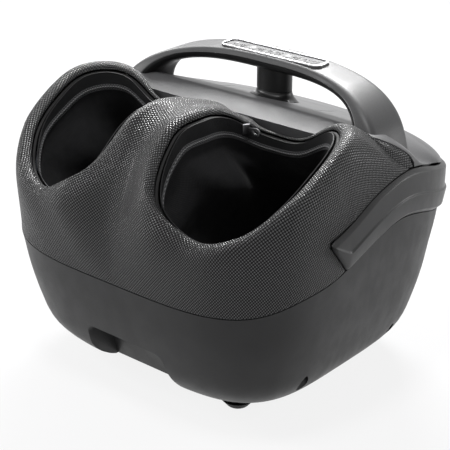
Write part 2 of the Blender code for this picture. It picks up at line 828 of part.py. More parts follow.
def deck_point(across, row):
    point, side = deck_plan(abs(across), row)
    low = belt_top(side if row < 2 else point.y) - GAP
    low = blend(low, belt_top(point.y) - GAP, max(row - 1, 0))
    flat = blend(DECK_FLAT_SHARE, DECK_ROUND_SHARE, ease((row - DECK_CREASE_SHARE) / 0.3))
    turn = max((abs(across) - flat) / (1 - flat), 0)
    rear = max(row - 1, 0)
    soft = 0.5 + DECK_CROWN_SHARE * sin(pi * ease(row))
    keep = max(1 - turn**2, 0) ** soft * max(1 - rear**DECK_BACK_POWER, 0) ** DECK_BACK_SHARE
    height = low + (deck_top(abs(across), row) - low) * keep
    return Vector((copysign(point.x, across), point.y, height))


def deck_places():
    """Columns of the deck as shares of its half width, closer together at the sides."""
    places = [2 * k / DECK_COLUMNS - 1 for k in range(DECK_COLUMNS + 1)]
    return [copysign(abs(place) ** DECK_CROWD, place) for place in places]


def rear_deck(finish):
    shape = bmesh.new()
    grid = []
    places = deck_places()
    for row in DECK_ROW_SHARES:
        grid.append([shape.verts.new(deck_point(place, row)) for place in places])
    face = [point - Vector((0, 0, deck_face(abs(u)) + FACE_LEAST)) for u, point in zip(places, [v.co for v in grid[0]])]
    grid.insert(0, [shape.verts.new(point) for point in face])
    for a, b in zip(grid, grid[1:]):
        for k in range(DECK_COLUMNS):
            shape.faces.new((a[k], a[k + 1], b[k + 1], b[k]))
    deck = add("rear_deck", shape, finish)
    wall = deck.modifiers.new("wall", "SOLIDIFY")
    wall.thickness = DECK_WALL
    wall.offset = -1
    cut(deck, bpy.data.objects["belt_room"])
    cut(deck, helper("arm_holes", handle_envelope(SEAT_GAP)))
    cut(deck, helper("collar_hole", post_collar(GAP)))
    return deck


# Handle


def arch(share, half, rise, power):
    """Point of one of the arch's curves in the upright plane, from the right foot to the left."""
    turn = pi * share
    c, s = cos(turn), sin(turn)
    x = copysign(half * abs(c) ** (2 / power), c)
    return Vector((x, 0, ARCH_FOOT_HEIGHT + rise * abs(s) ** (2 / power)))


def handle_station(share, grow=0.0):
    """Outer, edge and belly points of the arch with its front and rear places."""
    outer = arch(share, ARCH_OUTER_HALF + grow, ARCH_OUTER_RISE + grow, ARCH_POWER)
    middle = arch(share, ARCH_EDGE_HALF, ARCH_EDGE_RISE, ARCH_EDGE_POWER)
    belly = arch(share, ARCH_BELLY_HALF - grow, ARCH_BELLY_RISE - grow, ARCH_BELLY_POWER)
    rise = (outer.z - ARCH_FOOT_HEIGHT) / ARCH_OUTER_RISE
    front = blend(ARM_FRONT, TOP_FRONT, rise**2) - grow
    rear = blend(ARM_REAR, TOP_REAR, rise**2) + grow
    return outer, middle, belly, front, rear


def placed(low, high, share, y):
    point = blend(low, high, share)
    return Vector((point.x, y, point.z))


def arch_shares():
    """Stations along the arch, closer together where it bends."""
    return [0.5 - 0.5 * cos(pi * k / ARCH_SECTIONS) for k in range(ARCH_SECTIONS + 1)]


def upper_section(share):
    outer, middle, _, front, rear = handle_station(share)
    wall, turn = HANDLE_WALL, HANDLE_ROUND
    deep = (outer - middle).length
    thin, soft = wall / deep, turn / deep
    line = (
        (0.0, front),
        (1 - soft, front + turn * 0.1),
        (1 - soft * 0.3, front + turn * 0.4),
        (1.0, front + turn),
        (1.0, rear - turn),
        (1 - soft * 0.3, rear - turn * 0.4),
        (1 - soft, rear - turn * 0.1),
        (0.0, rear),
        (0.0, rear - wall),
        (1 - soft - thin, rear - wall),
        (1 - thin, rear - turn - wall),
        (1 - thin, front + turn + wall),
        (1 - soft - thin, front + wall),
        (0.0, front + wall),
    )
    return [placed(middle, outer, place, y) for place, y in line]


def lower_section(share):
    _, middle, belly, front, rear = handle_station(share)
    centre, half = (front + rear) / 2, (rear - front) / 2
    deep = (middle - belly).length
    gap, thin = GAP / deep, HANDLE_WALL / deep
    outside, inside = [], []
    for k in range(BELLY_POINTS + 1):
        turn = pi * k / BELLY_POINTS
        across, down = cos(turn), sin(turn) ** 0.7
        outside.append((1 - gap - (1 - gap) * down, centre - half * across))
        inside.append((1 - gap - (1 - gap - thin) * down, centre - (half - HANDLE_WALL) * across))
    return [placed(belly, middle, place, y) for place, y in outside + inside[::-1]]


def handle_envelope(grow):
    """Solid that holds the whole handle, for the holes of what it passes through."""
    rings = []
    for share in arch_shares():
        outer, middle, belly, front, rear = handle_station(share, grow)
        turn = HANDLE_ROUND
        soft = turn / (outer - middle).length
        ring = [
            placed(middle, outer, 1 - soft, front + turn * 0.1),
            placed(middle, outer, 1 - soft * 0.3, front + turn * 0.4),
            placed(middle, outer, 1.0, front + turn),
            placed(middle, outer, 1.0, rear - turn),
            placed(middle, outer, 1 - soft * 0.3, rear - turn * 0.4),
            placed(middle, outer, 1 - soft, rear - turn * 0.1),
        ]
        centre, half = (front + rear) / 2, (rear - front) / 2
        for k in range(BELLY_POINTS + 1):
            angle = pi * k / BELLY_POINTS
            ring.append(placed(middle, belly, sin(angle) ** 0.7, centre + half * cos(angle)))
        rings.append(ring)
    return loft(rings)


def handle_lower_shell(finish):
    return add("handle_lower_shell", loft([lower_section(share) for share in arch_shares()]), finish)


def handle_upper_shell(finish):
    shell = add("handle_upper_shell", loft([upper_section(share) for share in arch_shares()]), finish)
    opening = stadium(PANEL_HALF_LENGTH + GAP, PANEL_HALF_WIDTH + GAP)
    cut(shell, helper("panel_opening", prism(opening, TRIM_TOP - 2 * TRIM_HEIGHT, TRIM_TOP + OVERRUN)))
    return shell


def stadium(half_length, half_width, x=0.0, points=8, power=2.0):
    """Outline with round ends about the middle of the panel."""
    outline = []
    for end in (1, -1):
        for k in range(points + 1):
            turn = pi * k / points - pi / 2
            reach_x = half_width * copysign(abs(cos(turn)) ** (2 / power), cos(turn))
            reach_y = half_width * copysign(abs(sin(turn)) ** (2 / power), sin(turn))
            outline.append((x + end * (half_length - half_width + reach_x), PANEL_PLACE + end * reach_y))
    return outline


def panel_trim(finish):
    bottom = TRIM_TOP - TRIM_HEIGHT
    bevel = TRIM_WIDTH * 0.3
    rings = []
    for inset, height in (
        (0.0, bottom),
        (0.0, TRIM_TOP - bevel),
        (bevel, TRIM_TOP),
        (TRIM_WIDTH - bevel, TRIM_TOP),
        (TRIM_WIDTH, TRIM_TOP - bevel),
        (TRIM_WIDTH, bottom),
    ):
        outline = stadium(PANEL_HALF_LENGTH - inset, PANEL_HALF_WIDTH - inset)
        rings.append([(x, y, height) for x, y in outline])
    return add("panel_trim", loft(rings, closed=True), finish)


def button_places():
    return [(k - (BUTTON_COUNT - 1) / 2) * BUTTON_PITCH for k in range(BUTTON_COUNT)]


def panel_plate(finish):
    outline = stadium(PANEL_HALF_LENGTH - TRIM_WIDTH - GAP, PANEL_HALF_WIDTH - TRIM_WIDTH - GAP)
    plate = add("panel_plate", prism(outline, PLATE_TOP - PLATE_THICKNESS, PLATE_TOP), finish)
    holes = []
    for x in button_places():
        hole = stadium(BUTTON_HALF_LENGTH + RUNNING_GAP / 2, BUTTON_HALF_WIDTH + RUNNING_GAP / 2, x, 6)
        holes.append(prism(hole, PLATE_TOP - OVERRUN, PLATE_TOP + OVERRUN))
    cut(plate, helper("button_holes", merged(holes)))
    return plate


def button(index, x, finish):
    top = PLATE_TOP + BUTTON_PROUD
    flange = PLATE_TOP - PLATE_THICKNESS - RUNNING_GAP / 4
    steps = (
        (BUTTON_FLANGE_WIDTH, flange - BUTTON_FLANGE),
        (BUTTON_FLANGE_WIDTH, flange),
        (0.0, flange),
        (0.0, top - BUTTON_PROUD / 2),
        (-BUTTON_PROUD / 2, top),
    )
    rings = []
    for grow, height in steps:
        outline = stadium(BUTTON_HALF_LENGTH + grow, BUTTON_HALF_WIDTH + grow, x, 6)
        rings.append([(px, py, height) for px, py in outline])
    return add(f"button_{index}", loft(rings), finish, (x, PANEL_PLACE, flange))


def panel_board(finish):
    top = PLATE_TOP - PANEL_BOARD_DROP
    outline = stadium(PANEL_HALF_LENGTH - TRIM_WIDTH / 2, PANEL_HALF_WIDTH - TRIM_WIDTH / 2)
    return add("panel_board", prism(outline, top - BOARD_THICKNESS, top), finish)


# Post


def oval(half_x, half_y, height, points=24):
    turns = [2 * pi * k / points for k in range(points)]
    return [(half_x * cos(t), POST_PLACE + half_y * sin(t), height) for t in turns]


def post_collar(grow):
    """Flared collar in the deck, or the solid of its hole."""
    if grow:
        ends = (COLLAR_BOTTOM - OVERRUN, POST_SEAM_HEIGHT + OVERRUN)
        return loft([oval(FLARE_HALF_WIDTH + grow, FLARE_HALF_LENGTH + grow, z) for z in ends])
    rings = [oval(FLARE_HALF_WIDTH, FLARE_HALF_LENGTH, COLLAR_BOTTOM)]
    for k in range(FLARE_STEPS + 1):
        share = k / FLARE_STEPS
        bend = (1 - share) ** 2
        half_x = blend(POST_HALF_WIDTH, FLARE_HALF_WIDTH, bend)
        half_y = blend(POST_HALF_LENGTH, FLARE_HALF_LENGTH, bend)
        ring = []
        for x, y, _ in oval(half_x, half_y, 0.0):
            deck = deck_top(0.0, (y - LIP_PLACE) / (DECK_REAR_PLACE - LIP_PLACE)) + GAP
            ring.append((x, y, blend(deck, POST_SEAM_HEIGHT, share)))
        rings.append(ring)
    return loft(rings)


def post_sleeve(finish):
    ends = (POST_SEAM_HEIGHT + GAP, ARCH_FOOT_HEIGHT + ARCH_EDGE_RISE)
    sleeve = add("post_sleeve", loft([oval(POST_HALF_WIDTH, POST_HALF_LENGTH, z) for z in ends]), finish)
    cut(sleeve, bpy.data.objects["arm_holes"])
    return sleeve


# Foot pockets


def gasket(side, sign, finish):
    """Dark strip that clamps the cloth inside the rim."""
    sections = []
    for k in range(POCKET_POINTS):
        angle = 2 * pi * k / POCKET_POINTS
        edge, out = opening_edge(angle), opening_out(angle)
        top = edge - Vector((0, 0, GASKET_DROP))
        outer = top - out * GAP
        inner = top - out * (GAP + GASKET_WIDTH)
        down = Vector((0, 0, -GASKET_HEIGHT))
        line = (outer, outer + down, inner + down, inner - Vector((0, 0, GASKET_WIDTH / 3)))
        sections.append([(sign * p.x, p.y, p.z) for p in line])
    return add(f"{side}_gasket", loft(sections, closed=True), finish)


def pocket_point(angle, share):
    """Point of the pocket's inner surface, from the gasket down to the edge of its sole."""
    edge, out = opening_edge(angle), opening_out(angle)
    start = edge - out * (2 * GAP + GASKET_WIDTH + CLOTH_WALL) - Vector((0, 0, GASKET_DROP))
    end = plan(angle, POCKET_HALF_WIDTH, POCKET_HALF_LENGTH, POCKET_POWER)
    end += Vector((POCKET_SIDE, POCKET_PLACE, POCKET_SOLE + POCKET_ROUND))
    point = blend(start, end, ease((share - POCKET_NECK_SHARE) / (1 - POCKET_NECK_SHARE)))
    point.z = blend(start.z, end.z, share)
    return point


def pocket_ring(sign, share, crowd=1.0, drop=0.0):
    ring = []
    for k in range(POCKET_POINTS):
        point = pocket_point(2 * pi * k / POCKET_POINTS, share)
        middle = Vector((POCKET_SIDE, POCKET_PLACE, point.z))
        point = middle + (point - middle) * crowd
        ring.append((sign * point.x, point.y, point.z - drop))
    return ring


def liner(side, sign, finish):
    shape = bmesh.new()
    rings = [pocket_ring(sign, share) for share in POCKET_LEVEL_SHARES]
    rings.append(pocket_ring(sign, 1.0, 1 - POCKET_ROUND_SHARE / 3, POCKET_ROUND * 0.7))
    rings.append(pocket_ring(sign, 1.0, 1 - POCKET_ROUND_SHARE, POCKET_ROUND))
    loops = [[shape.verts.new(p) for p in ring] for ring in rings]
    for a, b in zip(loops, loops[1:]):
        for i in range(POCKET_POINTS):
            j = (i + 1) % POCKET_POINTS
            shape.faces.new((a[i], a[j], b[j], b[i]) if sign > 0 else (a[j], a[i], b[i], b[j]))
    shape.faces.new(loops[-1] if sign > 0 else loops[-1][::-1])
    cloth = add(f"{side}_liner", shape, finish)
    wall = cloth.modifiers.new("wall", "SOLIDIFY")
    wall.thickness = CLOTH_WALL
    wall.offset = 1
    return cloth


def airbag(name, sign, turns, shares, finish):
    """Cushion that lies on the outside of the cloth over a patch of it."""
    rows, columns = AIRBAG_ROWS, AIRBAG_COLUMNS
    near, far = [], []
    for i in range(rows + 1):
        for j in range(columns + 1):
            angle = radians(blend(turns[0], turns[1], j / columns))
            share = blend(shares[0], shares[1], i / rows)
            point = pocket_point(angle, share)
            along = pocket_point(angle + 0.02, share) - pocket_point(angle - 0.02, share)
            down = pocket_point(angle, share + 0.02) - pocket_point(angle, share - 0.02)
            out = along.cross(-down).normalized()
            crown = sin(pi * i / rows) * sin(pi * j / columns)
            reach = AIRBAG_SEAM + (AIRBAG_THICKNESS - AIRBAG_SEAM) * crown**0.6
            base = CLOTH_WALL + AIRBAG_GAP
            near.append(point + out * base)
            far.append(point + out * (base + reach))
    shape = bmesh.new()
    sheets = [[shape.verts.new((sign * p.x, p.y, p.z)) for p in sheet] for sheet in (near, far)]
    wide = columns + 1
    for sheet in sheets:
        for i in range(rows):
            for j in range(columns):
                k = i * wide + j
                shape.faces.new((sheet[k], sheet[k + 1], sheet[k + wide + 1], sheet[k + wide]))
    rim = [j for j in range(wide)]
    rim += [i * wide + columns for i in range(1, rows + 1)]
    rim += [rows * wide + j for j in range(columns - 1, -1, -1)]
    rim += [i * wide for i in range(rows - 1, 0, -1)]
    for a, b in zip(rim, rim[1:] + rim[:1]):
        shape.faces.new((sheets[0][a], sheets[0][b], sheets[1][b], sheets[1][a]))
    return add(name, shape, finish)


def zip_parts(side, sign, metal):
    """Slider on the cloth under the deck's lip, and the puller that hangs from it into the pocket."""
    place = pocket_point(radians(ZIP_TURN), ZIP_SHARE)
    inward = -opening_out(radians(ZIP_TURN))
    inward.x *= sign
    centre = Vector((sign * place.x, place.y, place.z)) + inward * (ZIP_SLIDER_THICKNESS / 2 + ZIP_GAP)
    turn = Matrix.Rotation(atan2(inward.y, inward.x), 4, "Z")
    half = Vector((ZIP_SLIDER_THICKNESS / 2, ZIP_SLIDER_WIDTH / 2, ZIP_SLIDER_LENGTH / 2))
    slider = box(-half, half)
    bmesh.ops.transform(slider, verts=slider.verts, matrix=Matrix.Translation(centre) @ turn)
    add(f"{side}_zip_slider", slider, metal, centre)
    thin = PULLER_THICKNESS / 2
    hinge = centre + inward * (half.x + thin + GAP) + Vector((0, 0, half.z / 2))
    outline = ((-1.0, -1.0), (-1.0, 0.6), (-0.6, 1.0), (0.6, 1.0), (1.0, 0.6), (1.0, -1.0))
    rings = []
    for x in (-thin, thin):
        rings.append([(x, y * PULLER_WIDTH / 2, PULLER_LENGTH / 2 * (z + 1)) for y, z in outline])
    puller = loft(rings)
    lean = Matrix.Rotation(radians(PULLER_TURN), 4, "Y")
    bmesh.ops.transform(puller, verts=puller.verts, matrix=Matrix.Translation(hinge) @ turn @ lean)
    add(f"{side}_zip_puller", puller, metal, hinge)


# Feet, plate and screws


def rounded(half_x, half_y, power, count, x=0.0, y=0.0):
    points = [plan(2 * pi * (k + 0.5) / count, half_x, half_y, power) for k in range(count)]
    return [(x + p.x, y + p.y) for p in points]


def foot(name, x, y, finish):
    top = TUB_BOTTOM - GAP
    sole = FOOT_SOLE_RADIUS
    profile = ((sole - FOOT_CHAMFER, 0), (sole, FOOT_CHAMFER), (FOOT_TOP_RADIUS, top))
    return add(name, turned((x, y, 0), profile, 28), finish, (x, y, 0))


def bottom_plate(finish):
    outline = rounded(PLATE_HALF_WIDTH, PLATE_HALF_DEPTH, 8, 40)
    return add("bottom_plate", prism(outline, PLATE_BOTTOM, TUB_BOTTOM - GAP), finish)


def tub_screw(index, x, y, finish):
    """Screw up through the end of a well into the chassis."""
    head = WELL_TOP - GAP
    profile = (
        (SCREW_HEAD_RADIUS, head - SCREW_HEAD_HEIGHT),
        (SCREW_HEAD_RADIUS, head),
        (SCREW_RADIUS, head),
        (SCREW_RADIUS, head + SCREW_LENGTH - SCREW_RADIUS),
        (SCREW_RADIUS / 3, head + SCREW_LENGTH),
    )
    return add(f"tub_screw_{index}", turned((x, y, 0), profile, 14), finish, (x, y, head))


# Drive


def chassis(finish):
    """Plate on the four wells, with the hangers of the shafts and the seats of the motors."""
    top = CHASSIS_BOTTOM + CHASSIS_THICKNESS
    outline = rounded(CHASSIS_HALF_WIDTH, CHASSIS_HALF_DEPTH, 5, 48)
    frame = add("chassis", prism(outline, CHASSIS_BOTTOM, top), finish)
    blocks, bores = [], []
    overlap = CHASSIS_THICKNESS / 2
    drop = shaft_height() - SHAFT_RADIUS * 2
    for sign in (-1, 1):
        x = sign * SHAFT_SIDE
        for y in HANGER_PLACES:
            half = HANGER_WIDTH / 2
            low = (x - half, y - HANGER_THICKNESS / 2, drop)
            blocks.append(box(low, (x + half, y + HANGER_THICKNESS / 2, CHASSIS_BOTTOM + overlap)))
        half = MOTOR_RADIUS + MOTOR_SEAT_WALL
        low = (x - half, MOTOR_SEAT_FRONT, shaft_height() - MOTOR_SEAT_DROP)
        blocks.append(box(low, (x + half, MOTOR_SEAT_REAR, CHASSIS_BOTTOM + overlap)))
        run = SHAFT_REAR - SHAFT_FRONT
        bore = SHAFT_RADIUS + GAP
        ends = ((bore, SHAFT_FRONT - OVERRUN), (bore, SHAFT_FRONT + run + OVERRUN))
        bores.append(turned((x, 0, shaft_height()), ends, 10, "Y"))
        seat = MOTOR_RADIUS + SEAT_GAP
        ends = ((seat, MOTOR_SEAT_FRONT - OVERRUN), (seat, MOTOR_SEAT_REAR + OVERRUN))
        bores.append(turned((x, 0, shaft_height()), ends, 16, "Y"))
    holes = []
    for sign in (-1, 1):
        for y in DISC_PLACES:
            hole = SPINDLE_RADIUS + SEAT_GAP
            holes.append(turned((sign * DISC_SIDE, y, 0), ((hole, CHASSIS_BOTTOM - OVERRUN), (hole, top + OVERRUN)), 16))
    for x, y in well_places():
        bore = SCREW_RADIUS + GAP
        holes.append(turned((x, y, 0), ((bore, CHASSIS_BOTTOM - OVERRUN), (bore, top + OVERRUN)), 12))
    join(frame, helper("chassis_blocks", merged(blocks)))
    cut(frame, helper("shaft_bores", merged(bores[0::2])))
    cut(frame, helper("motor_bores", merged(bores[1::2])))
    cut(frame, helper("chassis_holes", merged(holes)))
    return frame


def shaft_height():
    return CHASSIS_BOTTOM - WHEEL_DROP + WHEEL_THICKNESS / 2


def disc(name, x, y, finish):
    """Massage disc with its nodes, its spindle and the worm wheel on the spindle's end."""
    top = CHASSIS_BOTTOM + CHASSIS_THICKNESS + DISC_LIFT + DISC_THICKNESS
    wheel = CHASSIS_BOTTOM - WHEEL_DROP
    levels = (
        (WHEEL_RADIUS, wheel, 1),
        (WHEEL_RADIUS, wheel + WHEEL_THICKNESS, 1),
        (SPINDLE_RADIUS, wheel + WHEEL_THICKNESS, 0),
        (SPINDLE_RADIUS, top - DISC_THICKNESS, 0),
        (DISC_RADIUS, top - DISC_THICKNESS, 0),
        (DISC_RADIUS, top, 0),
    )
    rings = []
    for radius, height, teeth in levels:
        ring = []
        for k in range(2 * WHEEL_TEETH):
            reach = radius - TOOTH_HEIGHT * teeth * (k % 2)
            turn = pi * k / WHEEL_TEETH
            ring.append((x + reach * cos(turn), y + reach * sin(turn), height))
        rings.append(ring)
    made = add(name, loft(rings), finish, (x, y, top))
    balls = []
    for k in range(NODE_COUNT):
        turn = 2 * pi * k / NODE_COUNT + pi / 6
        centre = (x + NODE_ORBIT * cos(turn), y + NODE_ORBIT * sin(turn), top - DISC_THICKNESS / 2)
        rise = NODE_HEIGHT + DISC_THICKNESS / 2
        profile = [(NODE_RADIUS * cos(a), rise * sin(a)) for a in (radians(d) for d in (0, 30, 55, 78))]
        balls.append(turned(centre, profile, 10))
    join(made, helper(f"{name}_nodes", merged(balls)))
    return made


def worm_shaft(name, x, finish):
    rings = []

    def ring(y, radius, lead):
        line = []
        for k in range(WORM_POINTS):
            turn = 2 * pi * k / WORM_POINTS
            reach = radius
            if lead is not None:
                wave = 0.5 + 0.5 * cos(turn - lead)
                reach = WORM_RADIUS - WORM_DEPTH * wave
            line.append((x + reach * cos(turn), y, shaft_height() + reach * sin(turn)))
        rings.append(line)

    ring(SHAFT_FRONT, SHAFT_RADIUS, None)
    for place in DISC_PLACES:
        start = place - WORM_LENGTH / 2
        ring(start, SHAFT_RADIUS, None)
        for k in range(WORM_STEPS + 1):
            share = k / WORM_STEPS
            ring(start + WORM_LENGTH * share + GAP / 10, SHAFT_RADIUS, 2 * pi * WORM_TURNS * share)
        ring(start + WORM_LENGTH + GAP / 5, SHAFT_RADIUS, None)
    ring(SHAFT_REAR, SHAFT_RADIUS, None)
    return add(name, loft(rings), finish, (x, 0, shaft_height()))


def motor(name, x, finish):
    start = SHAFT_REAR + GAP
    profile = (
        (MOTOR_RADIUS * 0.5, start),
        (MOTOR_RADIUS * 0.5, start + MOTOR_BOSS),
        (MOTOR_RADIUS, start + MOTOR_BOSS),
        (MOTOR_RADIUS, start + MOTOR_LENGTH - MOTOR_BOSS),
        (MOTOR_RADIUS - MOTOR_BOSS, start + MOTOR_LENGTH),
    )
    return add(name, turned((x, 0, shaft_height()), profile, 24, "Y"), finish, (x, start, shaft_height()))


def power_inlet(finish):
    """Round socket in the rear wall, with its pin."""
    wall = -body_inset(INLET_HEIGHT) + BODY_DEPTH / 2
    rings = []
    for radius, place in (
        (INLET_RADIUS, wall - INLET_DEPTH),
        (INLET_RADIUS, wall + INLET_PROUD - GAP),
        (INLET_BORE, wall + INLET_PROUD - GAP),
        (INLET_BORE, wall - INLET_DEPTH + SHELL_WALL),
        (INLET_PIN, wall - INLET_DEPTH + SHELL_WALL),
        (INLET_PIN, wall - INLET_PROUD),
    ):
        rings.append((radius, place))
    return add("power_inlet", turned((0, 0, INLET_HEIGHT), rings, 20, "Y"), finish, (0, wall, INLET_HEIGHT))


def block(name, centre, size, finish):
    half = Vector(size) / 2
    centre = Vector(centre)
    return add(name, box(centre - half, centre + half), finish, centre)


def blocks(board, housing, ceramic):
    """Pump, valve block, main board and heaters, seated on the chassis."""
    top = CHASSIS_BOTTOM - GAP
    for name, place, size in (("air_pump", PUMP_PLACE, PUMP_SIZE), ("air_valve", VALVE_PLACE, VALVE_SIZE)):
        block(name, (0, place, top - size[2] / 2), size, housing)
    main_board = block("main_board", (0, BOARD_PLACE, top - BOARD_SIZE[2] / 2), BOARD_SIZE, board)
    low = top - BOARD_SIZE[2] / 2 - CHIP_SIZE[2] / 2
    half = Vector(CHIP_SIZE) / 2
    centre = Vector((0, BOARD_PLACE, low))
    join(main_board, helper("board_chip", box(centre - half, centre + half)))
    floor = CHASSIS_BOTTOM + CHASSIS_THICKNESS + GAP
    for side, sign in sides():
        block(f"{side}_heater", (sign * DISC_SIDE, HEATER_PLACE, floor + HEATER_SIZE[2] / 2), HEATER_SIZE, ceramic)


def soft_parts(rubber, cloth, bladder, metal):
    for side, sign in sides():
        gasket(side, sign, rubber)
        liner(side, sign, cloth)
        airbag(f"{side}_outer_airbag", sign, OUTER_BAG_TURNS, OUTER_BAG_SHARES, bladder)
        airbag(f"{side}_instep_airbag", sign, INSTEP_BAG_TURNS, INSTEP_BAG_SHARES, bladder)
        zip_parts(side, sign, metal)


def drive(housing, nodes, steel):
    chassis(housing)
    for side, sign in sides():
        worm_shaft(f"{side}_worm_shaft", sign * SHAFT_SIDE, steel)
        motor(f"{side}_motor", sign * SHAFT_SIDE, steel)
        for end, y in zip(("front", "rear"), DISC_PLACES):
            disc(f"{side}_{end}_disc", sign * DISC_SIDE, y, nodes)


def main():
    clear_scene()
    tub = material("tub_plastic", (0.045, 0.045, 0.047), 0.55)
    shell = material("cover_plastic", (0.05, 0.05, 0.052), 0.35)
    satin = material("deck_plastic", (0.11, 0.11, 0.115), 0.45)
    dark = material("dark_plastic", (0.025, 0.025, 0.026), 0.4)
    rubber = material("rubber", (0.015, 0.015, 0.015), 0.8)
    cloth = material("cloth", (0.01, 0.01, 0.011), 0.9)
    bladder = material("bladder_film", (0.25, 0.27, 0.3), 0.5)
    silver = material("silver_trim", (0.6, 0.6, 0.62), 0.25, 1.0)
    steel = material("steel", (0.5, 0.5, 0.52), 0.35, 1.0)
    housing = material("housing_plastic", (0.16, 0.17, 0.19), 0.5)
    nodes = material("node_plastic", (0.3, 0.3, 0.32), 0.45)
    board = material("circuit_board", (0.02, 0.12, 0.05), 0.5)
    ceramic = material("heater_ceramic", (0.5, 0.46, 0.4), 0.7)
    base_shell(tub)
    front_cover(shell)
    trim_belt(tub)
    rear_deck(satin)
    handle_upper_shell(satin)
    handle_lower_shell(dark)
    panel_trim(silver)
    panel_plate(dark)
    for index, x in enumerate(button_places(), 1):
        button(index, x, dark)
    panel_board(board)
    add("post_collar", post_collar(0.0), dark)
    post_sleeve(dark)
    soft_parts(rubber, cloth, bladder, steel)
    for name, x, y in (
        ("foot_front_left", -1, -1),
        ("foot_front_right", 1, -1),
        ("foot_rear_left", -1, 1),
        ("foot_rear_right", 1, 1),
    ):
        foot(name, x * FOOT_SIDE, y * FOOT_PLACE, rubber)
    bottom_plate(dark)
    for index, (x, y) in enumerate(well_places(), 1):
        tub_screw(index, x, y, steel)
    drive(housing, nodes, steel)
    blocks(board, housing, ceramic)
    power_inlet(dark)


main()
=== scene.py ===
from math import atan2, copysign, cos, pi, radians, sin, sqrt

import bmesh
import bpy
from mathutils import Matrix, Vector

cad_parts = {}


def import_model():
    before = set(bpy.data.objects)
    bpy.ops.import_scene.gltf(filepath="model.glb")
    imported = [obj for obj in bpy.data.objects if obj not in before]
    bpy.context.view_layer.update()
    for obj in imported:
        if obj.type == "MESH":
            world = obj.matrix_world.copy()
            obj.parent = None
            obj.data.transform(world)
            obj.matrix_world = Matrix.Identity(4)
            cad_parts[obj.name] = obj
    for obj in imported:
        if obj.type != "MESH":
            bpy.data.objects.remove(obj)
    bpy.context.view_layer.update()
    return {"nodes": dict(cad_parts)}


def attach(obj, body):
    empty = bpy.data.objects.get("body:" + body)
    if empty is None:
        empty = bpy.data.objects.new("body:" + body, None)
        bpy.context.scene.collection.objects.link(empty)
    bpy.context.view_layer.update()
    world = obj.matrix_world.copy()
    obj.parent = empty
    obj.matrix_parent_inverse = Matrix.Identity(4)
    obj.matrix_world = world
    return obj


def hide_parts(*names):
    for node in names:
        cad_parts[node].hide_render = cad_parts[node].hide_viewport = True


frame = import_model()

# Dimensions of the object, in metres

GAP = 0.0003
SEAT_GAP = 0.0005
JOINT_GAP = 0.0012
OVERRUN = 0.004
SHELL_WALL = 0.0028
COVER_WALL = 0.0024
DECK_WALL = 0.0024
CLOTH_WALL = 0.0022
BODY_WIDTH = 0.368
BODY_DEPTH = 0.334
FRONT_POWER = 4.0
REAR_POWER = 4.4
SEAM_INSET = 0.006
TUB_BOTTOM = 0.0075
SEAM_HEIGHT = 0.1265
BULGE_HEIGHT = 0.1885
TUB_TAPER = 0.058
TUB_RISE_SHARES = (0.0, 0.035, 0.14, 0.27, 0.48, 0.74, 1.0)
TUB_INSET_SHARES = (1.0, 0.85, 0.55, 0.34, 0.20, 0.08, 0.0)
SEAM_PLACE_SHARES = (-1.0, -0.86, -0.62, -0.36, 0.0, 0.27, 0.72, 1.0)
SEAM_HEIGHTS = (SEAM_HEIGHT, 0.1315, 0.1425, 0.1505, 0.1715, 0.1785, 0.1605, 0.1535)
BELT_PROUD = 0.0036
BELT_BEVEL = 0.0040
BELT_CREASE_OUT = 0.0016
BELT_TIP_PLACE = -0.070
BELT_TIP_HEIGHT = 0.1855
BELT_JOIN_PLACE = -0.046
BELT_PLACE_SHARES = (-0.420, -0.29, 0.0, 0.3, 0.72, 1.0)
BELT_TOPS = (0.1905, 0.1975, 0.2175, 0.2245, 0.2075, 0.1995)
BELT_CREASE_SHARE = 0.44
BELT_ROOM = 0.008
BELT_LEAN = 0.008
OPENING_SIDE = 0.0925
OPENING_PLACE = -0.070
OPENING_REACH = 0.0632
OPENING_REACH_SHARES = (1.11, 1.20, 1.235, 1.14, 1.25, 1.13, 0.99, 1.16, 1.44, 1.19, 1.18, 1.14)
RIM_LOW = 0.1865
RIM_RISE = 0.085
RIM_ROLL_WIDTH = 0.009
RIM_ROLL_HEIGHT = 0.006
RIM_HEIGHT_SHARES = (0.75, 0.95, 0.93, 0.68, 0.68, 0.92, 1.0, 0.90, 0.38, 0.04, 0.155, 0.475)
RIM_ROLL_SHARES = (1.0, 1.0, 0.85, 0.3, 0.25, 1.0, 1.0, 1.0, 1.0, 1.0, 1.0, 1.0)
HUMP_TOP = 0.2765
HUMP_LINE_SHARES = (0.0, 0.15, 0.33, 0.5, 0.66, 0.78, 0.88, 1.0)
HUMP_PLACE_SHARES = (0.0, 0.14, 0.37, 0.57, 0.77, 0.92, 1.02, 1.0)
HUMP_HEIGHT_SHARES = (0.81, 0.93, 1.0, 0.97, 0.84, 0.62, 0.35, 0.0)
HUMP_START_TURN = 140
HUMP_END_TURN = 236
HUMP_END_FALL = 70
LIP_PLACE = 0.010
LIP_HEIGHT = 0.2505
CREASE_HEIGHT = 0.258
DECK_REAR_PLACE = 0.143
DECK_REAR_HEIGHT = 0.2275
DECK_FALL_POWER = 1.1
DECK_SAG = 0.0004
DECK_BACK_POWER = 1.3
DECK_BACK_SHARE = 0.85
DECK_SIDE_FRONT = 0.057
DECK_SIDE_REAR = 0.119
DECK_SIDE_INSET = 0.0015
DECK_FLAT_SHARE = 0.78
DECK_ROUND_SHARE = 0.56
DECK_CROWN_SHARE = 0.6
SHOULDER_TOP = 0.2595
DECK_CREASE_SHARE = 0.2
DECK_EDGE_SHARE = 0.7
DECK_LIP_SHARE = 0.66
DECK_REAR_BOW = 0.026
DECK_BOW_HALF = 0.143
DECK_SHOULDER = 0.012
FACE_HEIGHT = 0.0085
FACE_LEAST = 0.0012
FACE_SHARES = (0.12, 0.24, 0.66, 0.8)
SHOULDER_END_SHARE = 0.72
